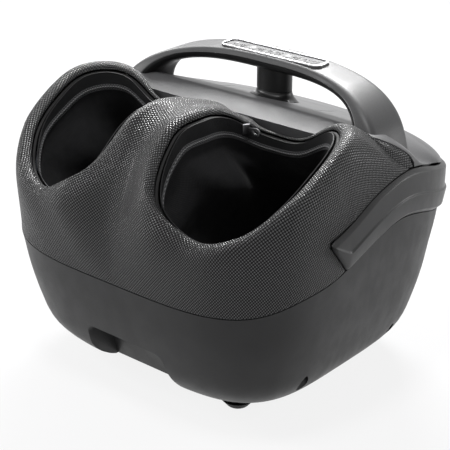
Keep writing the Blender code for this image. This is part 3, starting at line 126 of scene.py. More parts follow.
ARCH_FOOT_HEIGHT = 0.2335
ARCH_OUTER_HALF = 0.1565
ARCH_OUTER_RISE = 0.061
ARCH_EDGE_HALF = 0.139
ARCH_EDGE_RISE = 0.0555
ARCH_BELLY_HALF = 0.133
ARCH_BELLY_RISE = 0.0445
ARCH_POWER = 2.6
ARCH_FLARE = 0.009
ARCH_EDGE_POWER = 3.0
ARCH_BELLY_POWER = 3.4
ARM_FRONT = 0.020
ARM_REAR = 0.076
TOP_FRONT = 0.057
TOP_REAR = 0.100
HANDLE_WALL = 0.0024
HANDLE_ROUND = 0.006
POST_PLACE = 0.077
POST_HALF_WIDTH = 0.020
POST_HALF_LENGTH = 0.014
POST_SEAM_HEIGHT = 0.257
FLARE_HALF_WIDTH = 0.0270
FLARE_HALF_LENGTH = 0.0200
COLLAR_BOTTOM = 0.2395
PANEL_PLACE = 0.076
PANEL_HALF_LENGTH = 0.062
PANEL_HALF_WIDTH = 0.0125
TRIM_WIDTH = 0.0018
TRIM_CORNER = 0.0075
TRIM_TOP = 0.2957
TRIM_HEIGHT = 0.0054
PLATE_TOP = 0.294
BUTTON_COUNT = 5
BUTTON_PITCH = 0.0225
BUTTON_HALF_LENGTH = 0.0082
BUTTON_HALF_WIDTH = 0.0058
BUTTON_PROUD = 0.0003
CUTOUT_TOP_HALF = 0.050
CUTOUT_FOOT_HALF = 0.060
CUTOUT_TOP = 0.0635
CUTOUT_BACK_TOP = -0.122
CUTOUT_BACK_FOOT = -0.094
CUTOUT_CORNER = 0.012
WELL_SIDE = 0.154
WELL_PLACE = 0.070
WELL_RADIUS = 0.0058
WELL_TOP = 0.0735
SCREW_RADIUS = 0.002
POCKET_SIDE = 0.092
POCKET_PLACE = -0.004
POCKET_HALF_WIDTH = 0.052
POCKET_HALF_LENGTH = 0.118
POCKET_SOLE = 0.114
POCKET_ROUND = 0.012
POCKET_ROUND_SHARE = 0.16
POCKET_POWER = 3.0
POCKET_NECK_SHARE = 0.07
GASKET_WIDTH = 0.0030
GASKET_HEIGHT = 0.0055
GASKET_DROP = 0.0015
AIRBAG_THICKNESS = 0.015
AIRBAG_SEAM = 0.002
AIRBAG_GAP = 0.0020
OUTER_BAG_TURNS = (-48, 42)
OUTER_BAG_SHARES = (0.16, 0.72)
INSTEP_BAG_TURNS = (56, 124)
INSTEP_BAG_SHARES = (0.3, 0.74)
ZIP_TURN = 136
ZIP_SHARE = 0.02
ZIP_GAP = 0.0009
ZIP_SLIDER_THICKNESS = 0.0024
PULLER_TURN = 115
ZIP_SLIDER_WIDTH = 0.0075
ZIP_SLIDER_LENGTH = 0.010
PULLER_THICKNESS = 0.0012
PULLER_WIDTH = 0.0075
PULLER_LENGTH = 0.016
CHASSIS_BOTTOM = 0.0766
INLET_HEIGHT = 0.0655
INLET_RADIUS = 0.0056

# Sizes that only the dressed pieces need

WELD = 0.00003
EDGE_TURN = 35
JOINT_SHOW = 0.0009
SEAM_SHOW = 0.0007
CLOTH_SHEET = 0.0009
TAPE_WIDTH = 0.0060
TAPE_SHEET = 0.0005
TAPE_LIFT = 0.0004
COIL_RADIUS = 0.0009
DOT_PITCH = 0.0022
DOT_RISE = 0.00038
THREAD_PITCH = 0.0009
TAPE_PITCH = 0.0014
PRINT_HEIGHT = 0.00015
PRINT_WIDTH = 0.0009
SIGN_SCALE = 0.00125
TRIM_SHOW = 0.0012
KEY_GAP = 0.00015
BUTTON_CORNER = 0.0025
PULLER_SWING = 70
PULLER_SHIFT = 0.0006
PULLER_TAPER_SHARE = 0.72
PULLER_CLEAR = 0.0009
SLIT_WIDTH = 0.0011
SLIT_DEPTH = 0.0014
SEAM_LINE_COUNT = 64
TIP_LINE_COUNT = 6
BELT_LINE_COUNT = 36
SHOULDER_LINE_COUNT = 20
LIP_LINE_COUNT = 40
HUMP_LINE_COUNT = 56
ROLL_COUNT = 8
COVER_COUNT = 24
COVER_START_SHARES = (0.8, 0.45)
COVER_END_SHARE = 0.9
SOFT_STEPS = 3
HOOP_STEPS = 16
TUB_POINTS = 192
TUB_ROWS = 24
CORE_ROWS = 16
PIN_POINTS = 32
POST_POINTS = 72
GASKET_POINTS = 200
CORNER_STEPS = 8
BELT_SIDE_COUNT = 90
BELT_REAR_COUNT = 40
BELT_TIP_LENGTH = 0.006
BELT_END_SHARE = 0.3
BELT_SOFT = 0.0009
DECK_COLUMNS = 128
DECK_ROWS = 50
DECK_FACE_ROWS = 2
DECK_ROW_SHARES = (0.12, 0.6)
SLIT_SIDE = 0.0555
SLIT_BOW = 0.006
SLIT_FRONT = 0.056
SLIT_REAR = 0.106
SLIT_STEPS = 12
HANDLE_SOFT = 0.0022
HANDLE_CORNER = ((1.0, 0.1), (0.3, 0.4), (0.0, 1.0))
HANDLE_BELLY_POWER = 0.7
TRIM_EDGE_SHARE = 0.28
PLATE_THICKNESS = 0.0015
KEY_DEPTH = 0.0024
COLLAR_ROWS = 16
COLLAR_EDGE = 0.0006
POST_BEVEL = 0.0005
GASKET_LIP = 0.001
GASKET_SOFT = 0.0009
CLOTH_POINTS = 168
CLOTH_ROWS = 85
CLOTH_STRETCH = 1.7
CLOTH_FLAT = (0.52, 0.22)
TAPE_FLAT = 0.45
CLOTH_RIPPLE = 0.0005
TAPE_POINTS = 260
TAPE_ROWS = 12
COIL_SHARE = 0.3
AIRBAG_POINTS = (36, 28)
AIRBAG_FLAT = (0.08, 0.07)
AIRBAG_STEP = 0.02
SLIDER_BEVEL = 0.0007
PULLER_BEVEL = 0.0002
PULLER_POINTS = 32
PULLER_EYE_SHARE = 0.76
PULLER_EYE_HALF_WIDTH = 0.0015
PULLER_EYE_HALF_LENGTH = 0.0028
PULLER_NECK_SHARE = 0.04
SIGN_SIDE = -3.4
SIGN_RING = (3.2, 1.8)
FLOOR_WHITE_SHARE = 0.86
WORLD_LIGHT = 0.12
LAMP_TARGET = (0, 0, 0.15)
SENSOR_WIDTH = 36
PHOTO_WIDTH = 450
CAMERA_TURN = 40.488
CAMERA_RISE = 24.003
CAMERA_FOCUS = 1356.894
CAMERA_TARGET = (-0.056201, 0.066195, 0.0935)
CAMERA_REACH = 1.458072

# Rounds that even out the cover: half width, distance from the openings, number of rounds

FAIRING_STAGES = ((0.095, 0.012, 26), (0.05, 0.012, 40), (0.03, 0.012, 30), (0.17, 0.0096, 10))

FAIRING_REAR = -0.03

# Places where the cloth stands inwards: angle, share of the depth, half width, half height, rise

CLOTH_BULGES = (
    (0, 0.48, 44, 0.30, 0.014),
    (92, 0.56, 40, 0.22, 0.014),
    (185, 0.46, 46, 0.28, 0.020),
    (228, 0.40, 18, 0.16, 0.006),
    (262, 0.44, 22, 0.16, 0.007),
    (300, 0.42, 26, 0.20, 0.006),
    (140, 0.36, 18, 0.14, 0.006),
)

# How far under the rim the zip tape runs, from the side round the opening

TAPE_DROPS = (0.014, 0.016, 0.014, 0.011, 0.012, 0.016, 0.018, 0.016, 0.011, 0.008, 0.007, 0.009)


# Finishes


def node(tree, kind, inputs, **settings):
    """Shader node with its settings, its input values and its links made."""
    made = tree.nodes.new("ShaderNode" + kind)
    for name, value in settings.items():
        setattr(made, name, value)
    for name, value in inputs.items():
        if isinstance(value, bpy.types.NodeSocket):
            tree.links.new(value, made.inputs[name])
        else:
            made.inputs[name].default_value = value
    return made


def shade(tone):
    """Colour of a tone: a slightly cool grey, or the colour itself."""
    return tone if isinstance(tone, tuple) else (tone, tone, tone * 1.03)


def plain(name, tone, roughness, metallic=0.0, **sockets):
    """Finish of one grey or colour, for the patterns to be built on."""
    made = bpy.data.materials.new(name)
    made.use_nodes = True
    shader = made.node_tree.nodes["Principled BSDF"]
    shader.inputs["Base Color"].default_value = (*shade(tone), 1)
    shader.inputs["Roughness"].default_value = roughness
    shader.inputs["Metallic"].default_value = metallic
    for socket, value in sockets.items():
        shader.inputs[socket.replace("_", " ")].default_value = value
    return made, made.node_tree, shader


def mixed(tree, share, low, high):
    """Colour between two colours by a share."""
    return node(tree, "Mix", {0: share, 6: low, 7: high}, data_type="RGBA").outputs[2]


def colours(tree, shader, share, low, high):
    """Base colour that runs from low to high with a pattern's share."""
    colour = mixed(tree, share, (*shade(low), 1), (*shade(high), 1))
    tree.links.new(colour, shader.inputs["Base Color"])


def flat_place(tree):
    """Place on the UV map."""
    return node(tree, "UVMap", {}, uv_map="UVMap").outputs["UV"]


def object_place(tree):
    """Place in object space."""
    return node(tree, "TexCoord", {}).outputs["Object"]


def placed_noise(tree, pitch, detail=2.0, stretch=(1, 1, 1)):
    """Noise in object space whose grains are about as wide as the pitch."""
    drawn = {"Vector": object_place(tree), "Scale": stretch}
    drawn = node(tree, "Mapping", drawn).outputs["Vector"]
    return node(tree, "TexNoise", {"Vector": drawn, "Scale": 1 / pitch, "Detail": detail}).outputs["Fac"]


def spread(tree, value, low, high, start=0.3, end=0.7):
    """Value of a pattern carried from one range to another."""
    limits = {"Value": value, "From Min": start, "From Max": end, "To Min": low, "To Max": high}
    return node(tree, "MapRange", limits, interpolation_type="SMOOTHSTEP").outputs["Result"]


def bumped(tree, shader, height, depth, under=None):
    """Relief of a pattern on the shader, over another relief where there is one."""
    inputs = {"Height": height, "Strength": 1.0, "Distance": depth}
    if under:
        inputs["Normal"] = under
    relief = node(tree, "Bump", inputs).outputs["Normal"]
    tree.links.new(relief, shader.inputs["Normal"])
    return relief


def grained(name, tone, roughness, pitch=0.0007, depth=0.00004, metallic=0.0, change=0.12, **sockets):
    """Moulded plastic: fine grain, slight clouds in its tone and in its gloss."""
    made, tree, shader = plain(name, tone, roughness, metallic, **sockets)
    clouds = placed_noise(tree, 0.035, 3.0)
    low = tuple(part * (1 - change) for part in shade(tone))
    high = tuple(part * (1 + change) for part in shade(tone))
    colours(tree, shader, spread(tree, clouds, 0.0, 1.0), low, high)
    handled = placed_noise(tree, 0.018, 4.0, (1, 1.4, 0.8))
    gloss = spread(tree, handled, roughness - 0.03, roughness + 0.05)
    tree.links.new(gloss, shader.inputs["Roughness"])
    bumped(tree, shader, placed_noise(tree, pitch), depth)
    return made


def dotted_cover():
    """Cover plastic with its raised dots in staggered rows, the dots painted lighter as painted
    highlight and the hollows between them darker as painted shade.
    """
    made, tree, shader = plain("dotted_cover", 0.02, 0.3, Specular_IOR_Level=0.45)
    share = 1 / DOT_PITCH
    turn = {"Vector": flat_place(tree), "Rotation": (0, 0, pi / 4), "Scale": (share, share, share)}
    rows = node(tree, "Mapping", turn).outputs["Vector"]
    cell = {"Vector": rows, "Scale": 1.0, "Randomness": 0.0}
    reach = node(tree, "TexVoronoi", cell, voronoi_dimensions="2D").outputs["Distance"]
    dot = spread(tree, reach, 1.0, 0.0, 0.1, 0.52)
    # Painted highlight: the dot tops are lighter in tone. Painted shade: the hollows between the dots
    # are darker.
    colours(tree, shader, dot, 0.006, 0.05)
    gloss = spread(tree, dot, 0.5, 0.2, 0.0, 1.0)
    tree.links.new(gloss, shader.inputs["Roughness"])
    shine = spread(tree, dot, 0.12, 0.85, 0.0, 1.0)
    tree.links.new(shine, shader.inputs["Specular IOR Level"])
    fine = bumped(tree, shader, placed_noise(tree, 0.0006), 0.00002)
    bumped(tree, shader, dot, DOT_RISE, fine)
    return made


def satin_paint(name, tone, roughness=0.42, metallic=0.0):
    """Satin paint with a fine metallic flake."""
    made, tree, shader = plain(name, tone, roughness, metallic, Specular_IOR_Level=0.4)
    flake = placed_noise(tree, 0.0005, 0.0)
    colours(tree, shader, spread(tree, flake, 0.0, 1.0, 0.35, 0.75), tone * 0.86, tone * 1.2)
    clouds = placed_noise(tree, 0.03, 3.0)
    tree.links.new(spread(tree, clouds, roughness - 0.03, roughness + 0.05), shader.inputs["Roughness"])
    bumped(tree, shader, placed_noise(tree, 0.0011), 0.000025)
    return made


def brushed(name, tone, roughness, stretch=(0.04, 1, 1)):
    """Bright metal with fine lines along its length."""
    made, tree, shader = plain(name, tone, roughness, 1.0)
    lines = placed_noise(tree, 0.0003, 1.0, stretch)
    colours(tree, shader, spread(tree, lines, 0.0, 1.0), tone * 0.9, min(tone * 1.06, 0.95))
    tree.links.new(spread(tree, lines, roughness - 0.04, roughness + 0.08), shader.inputs["Roughness"])
    bumped(tree, shader, lines, 0.000012)
    return made


def rim_bright():
    """Bright metal on the panel's frame above the handle, painted like the handle below that."""
    made = brushed("silver_trim", 0.6, 0.22)
    tree = made.node_tree
    shader = tree.nodes["Principled BSDF"]
    height = node(tree, "SeparateXYZ", {"Vector": object_place(tree)}).outputs["Z"]
    bright = spread(tree, height, 0.0, 1.0, TRIM_TOP - TRIM_SHOW, TRIM_TOP - TRIM_SHOW * 0.9)
    metal = shader.inputs["Base Color"].links[0].from_socket
    colour = mixed(tree, bright, (0.05, 0.05, 0.0515, 1), metal)
    tree.links.new(colour, shader.inputs["Base Color"])
    tree.links.new(bright, shader.inputs["Metallic"])
    return made


def sums(tree, operation, *values):
    """Result of one step of reckoning on the values."""
    return node(tree, "Math", dict(enumerate(values)), operation=operation).outputs[0]


def threads(tree, pitch):
    """Over and under threads of a plain weave on the UV map, from 0 to 1."""
    split = node(tree, "SeparateXYZ", {"Vector": flat_place(tree)})
    waves = []
    for axis in ("X", "Y"):
        waves.append(sums(tree, "SINE", sums(tree, "MULTIPLY", split.outputs[axis], pi / pitch)))
    return spread(tree, sums(tree, "MULTIPLY", *waves), 0.0, 1.0, -1.0, 1.0)


def lining():
    """Black lining cloth: woven, soft, and smoother and greyer in the collar above the zip."""
    soft = {"Sheen_Weight": 0.06, "Sheen_Roughness": 0.4, "Specular_IOR_Level": 0.12}
    made, tree, shader = plain("lining_cloth", 0.006, 0.75, **soft)
    weave = threads(tree, THREAD_PITCH)
    collar = node(tree, "Attribute", {}, attribute_name="collar").outputs["Fac"]
    slack = placed_noise(tree, 0.012, 3.0)
    tone = sums(tree, "MULTIPLY", weave, slack)
    body = mixed(tree, tone, (0.016, 0.016, 0.017, 1), (0.050, 0.050, 0.052, 1))
    colour = mixed(tree, collar, body, (0.022, 0.022, 0.023, 1))
    tree.links.new(colour, shader.inputs["Base Color"])
    tree.links.new(spread(tree, collar, 0.8, 0.55, 0.0, 1.0), shader.inputs["Roughness"])
    bumped(tree, shader, weave, 0.00012, bumped(tree, shader, slack, 0.0006))
    return made


def zip_tape():
    """Woven zip tape with ribs across it."""
    soft = {"Sheen_Weight": 0.1, "Sheen_Roughness": 0.4, "Specular_IOR_Level": 0.3}
    made, tree, shader = plain("zip_tape", 0.02, 0.6, **soft)
    ribs = threads(tree, TAPE_PITCH)
    colours(tree, shader, ribs, 0.03, 0.2)
    bumped(tree, shader, ribs, 0.0003)
    return made


def film():
    """Air bladder film with a faint print of its mould."""
    made, tree, shader = plain("bladder_film", (0.25, 0.27, 0.3), 0.45)
    net = threads(tree, 0.003)
    colours(tree, shader, net, (0.2, 0.22, 0.25), (0.28, 0.3, 0.33))
    bumped(tree, shader, net, 0.0001)
    return made


def circuit():
    """Green board lacquer over its copper runs."""
    made, tree, shader = plain("circuit_board", (0.02, 0.12, 0.05), 0.35)
    grid = {"Vector": object_place(tree), "Scale": 90.0, "Mortar Size": 0.03}
    runs = node(tree, "TexBrick", grid).outputs["Fac"]
    colours(tree, shader, runs, (0.015, 0.1, 0.04), (0.05, 0.2, 0.07))
    bumped(tree, shader, runs, 0.00005)
    return made


TUB = grained("tub_plastic", 0.016, 0.42, depth=0.00006, Specular_IOR_Level=0.3)
BELT = grained("belt_plastic", 0.02, 0.36, Specular_IOR_Level=0.35)
COVER = dotted_cover()
DECK = satin_paint("deck_paint", 0.085)
ARCH = satin_paint("handle_paint", 0.05)
DARK = grained("dark_plastic", 0.008, 0.36, Specular_IOR_Level=0.4)
PLATE = grained("panel_plastic", 0.05, 0.4, Specular_IOR_Level=0.35)
RUBBER = grained("rubber", 0.006, 0.6, 0.001, 0.00008, Specular_IOR_Level=0.2)
LINING = lining()
TAPE = zip_tape()
FILM = film()
SILVER = rim_bright()
ZINC = brushed("zinc_casting", 0.16, 0.3, (1, 1, 0.05))
STEEL = brushed("steel", 0.55, 0.32, (1, 1, 0.05))
PRINT = grained("icon_print", 0.8, 0.5, 0.0005, 0.00001)
HOUSING = grained("housing_plastic", (0.16, 0.17, 0.19), 0.48)
NODES = grained("node_plastic", (0.3, 0.3, 0.32), 0.42)
BOARD = circuit()
HEATER = grained("heater_ceramic", (0.5, 0.46, 0.4), 0.65, 0.0009, 0.0001)


# Shapes


def slope(points, index):
    before = points[max(index - 1, 0)]
    after = points[min(index + 1, len(points) - 1)]
    return (after[1] - before[1]) / (after[0] - before[0])


def curve_weights(t):
    """Weights of a smooth curve's start, its end, and its slopes at both."""
    return 2 * t**3 - 3 * t**2 + 1, 3 * t**2 - 2 * t**3, t**3 - 2 * t**2 + t, t**3 - t**2


def read(places, values, place):
    """Value at a place on the smooth curve through the values at the places."""
    points = list(zip(places, values))
    last = len(points) - 1
    place = min(max(place, points[0][0]), points[last][0])
    span = next(i for i in range(last) if place <= points[i + 1][0])
    width = points[span + 1][0] - points[span][0]
    first, last, leaving, arriving = curve_weights((place - points[span][0]) / width)
    straight = points[span][1] * first + points[span + 1][1] * last
    bend = slope(points, span) * leaving + slope(points, span + 1) * arriving
    return straight + width * bend


def read_round(values, share):
    """Value at a share of a full turn on the smooth closed curve through evenly spaced values."""
    count = len(values)
    place = (share % 1) * count
    index = int(place)
    t = place - index
    a, b, c, d = (values[(index + step) % count] for step in (-1, 0, 1, 2))
    return b + 0.5 * t * (c - a + t * (2 * a - 5 * b + 4 * c - d + t * (3 * (b - c) + d - a)))


def blend(start, end, share):
    return start + (end - start) * share


def rounded_corner(start, corner, end, t):
    """Point of a soft corner between two points."""
    return start * (1 - t) ** 2 + corner * (2 * t * (1 - t)) + end * t**2


def turns_round(count, shift=0.0):
    """Angles evenly spaced round a full turn."""
    return [2 * pi * (k + shift) / count for k in range(count)]


def flipped(point, sign):
    """Point on the side that the sign says."""
    return Vector((sign * point.x, point.y, point.z))


def ease(share):
    """Share that starts and ends gently."""
    share = min(max(share, 0), 1)
    return share * share * (3 - 2 * share)


def plan(angle, half_x, half_y, power):
    """Point of a superellipse in the direction of an angle."""
    c, s = cos(angle), sin(angle)
    reach = (abs(c / half_x) ** power + abs(s / half_y) ** power) ** (-1 / power)
    return Vector((reach * c, reach * s, 0))


def body_inset(height):
    """How far the wall stands inside the widest outline at a height."""
    share = (height - TUB_BOTTOM) / (SEAM_HEIGHT - TUB_BOTTOM)
    if share <= 1:
        return SEAM_INSET + TUB_TAPER * read(TUB_RISE_SHARES, TUB_INSET_SHARES, share)
    above = min((height - SEAM_HEIGHT) / (BULGE_HEIGHT - SEAM_HEIGHT), 1)
    return SEAM_INSET * (1 - above) ** 2


def body_point(angle, height, out=0.0):
    """Point of the body's outer wall, or of an outline that lies a distance outside it."""
    inset = body_inset(height) - out
    power = REAR_POWER if sin(angle) > 0 else FRONT_POWER
    point = plan(angle, BODY_WIDTH / 2 - inset, BODY_DEPTH / 2 - inset, power)
    point.z = height
    return point


def seam_height(y):
    return read(SEAM_PLACE_SHARES, SEAM_HEIGHTS, y / (BODY_DEPTH / 2))


def belt_top(y):
    return read(BELT_PLACE_SHARES, BELT_TOPS, y / (BODY_DEPTH / 2))


def belt_low(y):
    """Height of the belt's lower edge, which runs up to its tip in front of the seam."""
    share = min(max((y - BELT_TIP_PLACE) / (BELT_JOIN_PLACE - BELT_TIP_PLACE), 0), 1)
    return max(blend(BELT_TIP_HEIGHT, seam_height(BELT_JOIN_PLACE), share), seam_height(y))


def outline_y(angle):
    return body_point(angle, BULGE_HEIGHT).y


def outline_x(y):
    """Half width of the widest outline at this y."""
    power = REAR_POWER if y > 0 else FRONT_POWER
    return BODY_WIDTH / 2 * max(1 - abs(2 * y / BODY_DEPTH) ** power, 0) ** (1 / power)


def outline_rear(x):
    """How far behind the middle the widest outline lies at this x."""
    return BODY_DEPTH / 2 * max(1 - abs(2 * x / BODY_WIDTH) ** REAR_POWER, 0) ** (1 / REAR_POWER)


def angle_at(y):
    """Angle on the right side at which the widest outline has this y."""
    return atan2(y, outline_x(y))


def opening_edge(angle):
    """Inner edge of the right opening, at the start of its rolled rim."""
    reach = OPENING_REACH * read_round(OPENING_REACH_SHARES, angle / (2 * pi))
    point = Vector((OPENING_SIDE + reach * cos(angle), OPENING_PLACE + reach * sin(angle), 0))
    point.z = RIM_LOW + RIM_RISE * read_round(RIM_HEIGHT_SHARES, angle / (2 * pi))
    return point


def opening_out(angle):
    """Direction in plan from the inside of the opening to its wall."""
    step = radians(2)
    along = opening_edge(angle + step) - opening_edge(angle - step)
    return Vector((along.y, -along.x, 0)).normalized()


def seam_run(share):
    """Front seam from the middle to where it meets the belt."""
    angle = blend(-pi / 2, angle_at(BELT_JOIN_PLACE), share)
    return body_point(angle, seam_height(outline_y(angle)))


def belt_run(share):
    """Cover's edge along the top of the belt, from behind its tip to the deck."""
    y = blend(BELT_JOIN_PLACE + BELT_LEAN, DECK_SIDE_FRONT, share)
    return body_point(angle_at(y), belt_top(y) - GAP)


def deck_front(share):
    """Front edge of the deck from its middle to its side, where it meets the cover."""
    return deck_point(share, 0)


def deck_face(share):
    """Height of the deck's upright front face, which ends at the hump and at the shoulder."""
    rise = ease((share - FACE_SHARES[0]) / (FACE_SHARES[1] - FACE_SHARES[0]))
    fall = ease((FACE_SHARES[3] - share) / (FACE_SHARES[3] - FACE_SHARES[2]))
    return FACE_HEIGHT * rise * fall


def deck_joint(share):
    """Cover's edge in front of the deck, at a share of the deck's half width."""
    return deck_front(share) - Vector((0, JOINT_GAP, deck_face(share) + FACE_LEAST * 0.5))


def shoulder_run(share):
    return deck_joint(blend(1.0, SHOULDER_END_SHARE, share))


def lip_run(share):
    return deck_joint(blend(SHOULDER_END_SHARE, 0.0, share))


def hump_run(share):
    """Middle line of the cover, from the deck over the top to the front seam."""
    front, back = seam_run(0), lip_run(1)
    place = blend(back.y, front.y, read(HUMP_LINE_SHARES, HUMP_PLACE_SHARES, share))
    height = blend(front.z, HUMP_TOP, read(HUMP_LINE_SHARES, HUMP_HEIGHT_SHARES, share))
    start = blend(front.z, HUMP_TOP, HUMP_HEIGHT_SHARES[0])
    height += (back.z - start) * max(1 - share / HUMP_LINE_SHARES[2], 0)
    return Vector((0, place, height))


def deck_plan(across, row):
    """Point of the deck in plan: share of its half width, and share of the way to its rear edge."""
    corner = outline_x(DECK_SIDE_REAR) - DECK_SIDE_INSET
    front = blend(LIP_PLACE, DECK_SIDE_FRONT, across**8)
    rear = outline_rear(corner * across) - DECK_SIDE_INSET
    bow = DECK_REAR_BOW * (corner * across / DECK_BOW_HALF) ** 2
    edge = min(DECK_REAR_PLACE - bow, rear - DECK_SHOULDER)
    y = blend(front, edge, row) if row <= 1 else blend(edge, rear, row - 1)
    share = min(row, 1) * DECK_EDGE_SHARE + max(row - 1, 0) * (1 - DECK_EDGE_SHARE)
    side = blend(DECK_SIDE_FRONT, DECK_SIDE_REAR, share)
    return Vector((across * (outline_x(side) - DECK_SIDE_INSET), y, 0)), side


def deck_top(across, row):
    """Height of the deck before it turns down at its side and rear."""
    rise = ease((across - DECK_LIP_SHARE) / (DECK_FLAT_SHARE - DECK_LIP_SHARE))
    front = blend(LIP_HEIGHT, SHOULDER_TOP, rise)
    if row <= DECK_CREASE_SHARE:
        return blend(front, CREASE_HEIGHT, row / DECK_CREASE_SHARE)
    share = min((row - DECK_CREASE_SHARE) / (1 - DECK_CREASE_SHARE), 1)
    fall = (CREASE_HEIGHT - DECK_REAR_HEIGHT) * share**DECK_FALL_POWER
    return CREASE_HEIGHT - fall - DECK_SAG * share * ease(across / DECK_ROUND_SHARE)


def deck_point(across, row):
    point, side = deck_plan(abs(across), row)
    low = belt_top(side if row < 2 else point.y) + JOINT_SHOW
    low = blend(low, belt_top(point.y) + JOINT_SHOW, max(row - 1, 0))
    flat = blend(DECK_FLAT_SHARE, DECK_ROUND_SHARE, ease((row - DECK_CREASE_SHARE) / 0.3))
    turn = max((abs(across) - flat) / (1 - flat), 0)
    rear = max(row - 1, 0)
    soft = 0.5 + DECK_CROWN_SHARE * sin(pi * ease(row))
    keep = max(1 - turn**2, 0) ** soft * max(1 - rear**DECK_BACK_POWER, 0) ** DECK_BACK_SHARE
    height = low + (deck_top(abs(across), row) - low) * keep
    return Vector((copysign(point.x, across), point.y, height))


def arch(share, half, rise, power):
    """Point of one of the arch's curves in the upright plane, from the right foot to the left."""
    turn = pi * share
    c, s = cos(turn), sin(turn)
    x = copysign(half * abs(c) ** (2 / power), c)
    return Vector((x, 0, ARCH_FOOT_HEIGHT + rise * abs(s) ** (2 / power)))


def handle_station(share, grow=0.0):
    """Outer, edge and belly points of the arch with its front and rear places."""
    outer = arch(share, ARCH_OUTER_HALF + grow, ARCH_OUTER_RISE + grow, ARCH_POWER)
    middle = arch(share, ARCH_EDGE_HALF, ARCH_EDGE_RISE, ARCH_EDGE_POWER)
    belly = arch(share, ARCH_BELLY_HALF - grow, ARCH_BELLY_RISE - grow, ARCH_BELLY_POWER)
    rise = (outer.z - ARCH_FOOT_HEIGHT) / ARCH_OUTER_RISE
    outer.x += copysign(ARCH_FLARE * max(1 - rise, 0) ** 2, outer.x)
    front = blend(ARM_FRONT, TOP_FRONT, rise**2) - grow
    rear = blend(ARM_REAR, TOP_REAR, rise**2) + grow
    return outer, middle, belly, front, rear


def placed(low, high, share, y):
    point = blend(low, high, share)
    return Vector((point.x, y, point.z))


def round_box(half_x, half_y, corner, height, middle=0.0):
    """Ring of a box with round corners about a place on the panel."""
    ring = []
    for turn, sign_x, sign_y in ((0, 1, 1), (1, -1, 1), (2, -1, -1), (3, 1, -1)):
        for k in range(CORNER_STEPS + 1):
            angle = pi / 2 * (turn + k / CORNER_STEPS)
            x = middle + sign_x * (half_x - corner) + corner * cos(angle)
            y = PANEL_PLACE + sign_y * (half_y - corner) + corner * sin(angle)
            ring.append(Vector((x, y, height)))
    return ring


def button_places():
    return [(k - (BUTTON_COUNT - 1) / 2) * BUTTON_PITCH for k in range(BUTTON_COUNT)]


def pocket_point(angle, share):
    """Point of the pocket's inner surface, from the gasket down to the edge of its sole."""
    edge, out = opening_edge(angle), opening_out(angle)
    start = edge - out * (2 * GAP + GASKET_WIDTH + CLOTH_WALL) - Vector((0, 0, GASKET_DROP))
    end = plan(angle, POCKET_HALF_WIDTH, POCKET_HALF_LENGTH, POCKET_POWER)
    end += Vector((POCKET_SIDE, POCKET_PLACE, POCKET_SOLE + POCKET_ROUND))
    point = blend(start, end, ease((share - POCKET_NECK_SHARE) / (1 - POCKET_NECK_SHARE)))
    point.z = blend(start.z, end.z, share)
    return point


# Making of the pieces


def laid(across, along, place, flat=(1.0, 1.0)):
    """Grid whose points lie where their two shares say, with a UV map of its flat size."""
    shape = bmesh.new()
    bmesh.ops.create_grid(shape, x_segments=across, y_segments=along, size=0.5)
    layer = shape.loops.layers.uv.new("UVMap")
    for face in shape.faces:
        for loop in face.loops:
            spot = loop.vert.co
            loop[layer].uv = ((spot.x + 0.5) * flat[0], (spot.y + 0.5) * flat[1])
    for vert in shape.verts:
        vert.co = place(vert.co.x + 0.5, vert.co.y + 0.5)
    bmesh.ops.remove_doubles(shape, verts=shape.verts, dist=WELD)
    return shape


def wrapped(rings, capped=True):
    """Skin over rings of as many points each, closed at its ends or on itself."""
    count = len(rings[0])
    if not capped:
        rings = rings + rings[:1]
    last = len(rings) - 1
    shape = laid(count, last, lambda u, v: rings[round(v * last)][round(u * count) % count])
    if capped:
        bmesh.ops.holes_fill(shape, edges=[edge for edge in shape.edges if edge.is_boundary], sides=0)
    bmesh.ops.recalc_face_normals(shape, faces=shape.faces)
    return shape


def faced(shape, lowest=False):
    """Normals of an open sheet made to agree, with its highest or lowest face looking up."""
    bmesh.ops.recalc_face_normals(shape, faces=shape.faces)
    pick = min if lowest else max
    mark = pick(shape.faces, key=lambda face: face.calc_center_median().z)
    if mark.normal.z < 0:
        bmesh.ops.reverse_faces(shape, faces=shape.faces)
    return shape


def softened(line, radius):
    """Closed line of flat points with its corners rounded."""
    made = []
    corners = [Vector(corner) for corner in line]
    for k, corner in enumerate(corners):
        before = corners[k - 1] - corner
        after = corners[(k + 1) % len(corners)] - corner
        start = corner + before * min(radius / before.length, 0.45)
        end = corner + after * min(radius / after.length, 0.45)
        for step in range(SOFT_STEPS + 1):
            made.append(rounded_corner(start, corner, end, step / SOFT_STEPS))
    return made


def linked(name, data):
    """Object with its data, put in the scene."""
    thing = bpy.data.objects.new(name, data)
    bpy.context.scene.collection.objects.link(thing)
    return thing


def meshed(name, shape):
    """Object in the scene with the mesh of a shape."""
    mesh = bpy.data.meshes.new(name)
    shape.to_mesh(mesh)
    shape.free()
    return linked(name, mesh)


def edged(mesh):
    """Mesh smooth to look at, but for its sharp edges."""
    mesh.shade_smooth()
    mesh.set_sharp_from_angle(angle=radians(EDGE_TURN))


def piece(name, shape, finish, replaces=(), body="housing"):
    """Object of the model that rides on a body and may stand for some of its nodes."""
    thing = meshed(name, shape)
    thing.data.materials.append(finish)
    edged(thing.data)
    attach(thing, body)
    if replaces:
        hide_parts(*replaces)
    return thing


def tool(name, shape):
    """Solid that only cuts or joins, taken away once its work is done."""
    thing = meshed(name, shape)
    thing.hide_render = True
    return thing


def worked(thing, other, operation="DIFFERENCE", solver="EXACT"):
    """Cut or joint with another solid, to be carried out when the piece is settled."""
    step = thing.modifiers.new(other.name, "BOOLEAN")
    step.operation = operation
    step.object = other
    step.solver = solver


def walled(thing, thickness, offset=-1):
    wall = thing.modifiers.new("wall", "SOLIDIFY")
    wall.thickness = thickness
    wall.offset = offset
    wall.use_even_offset = True


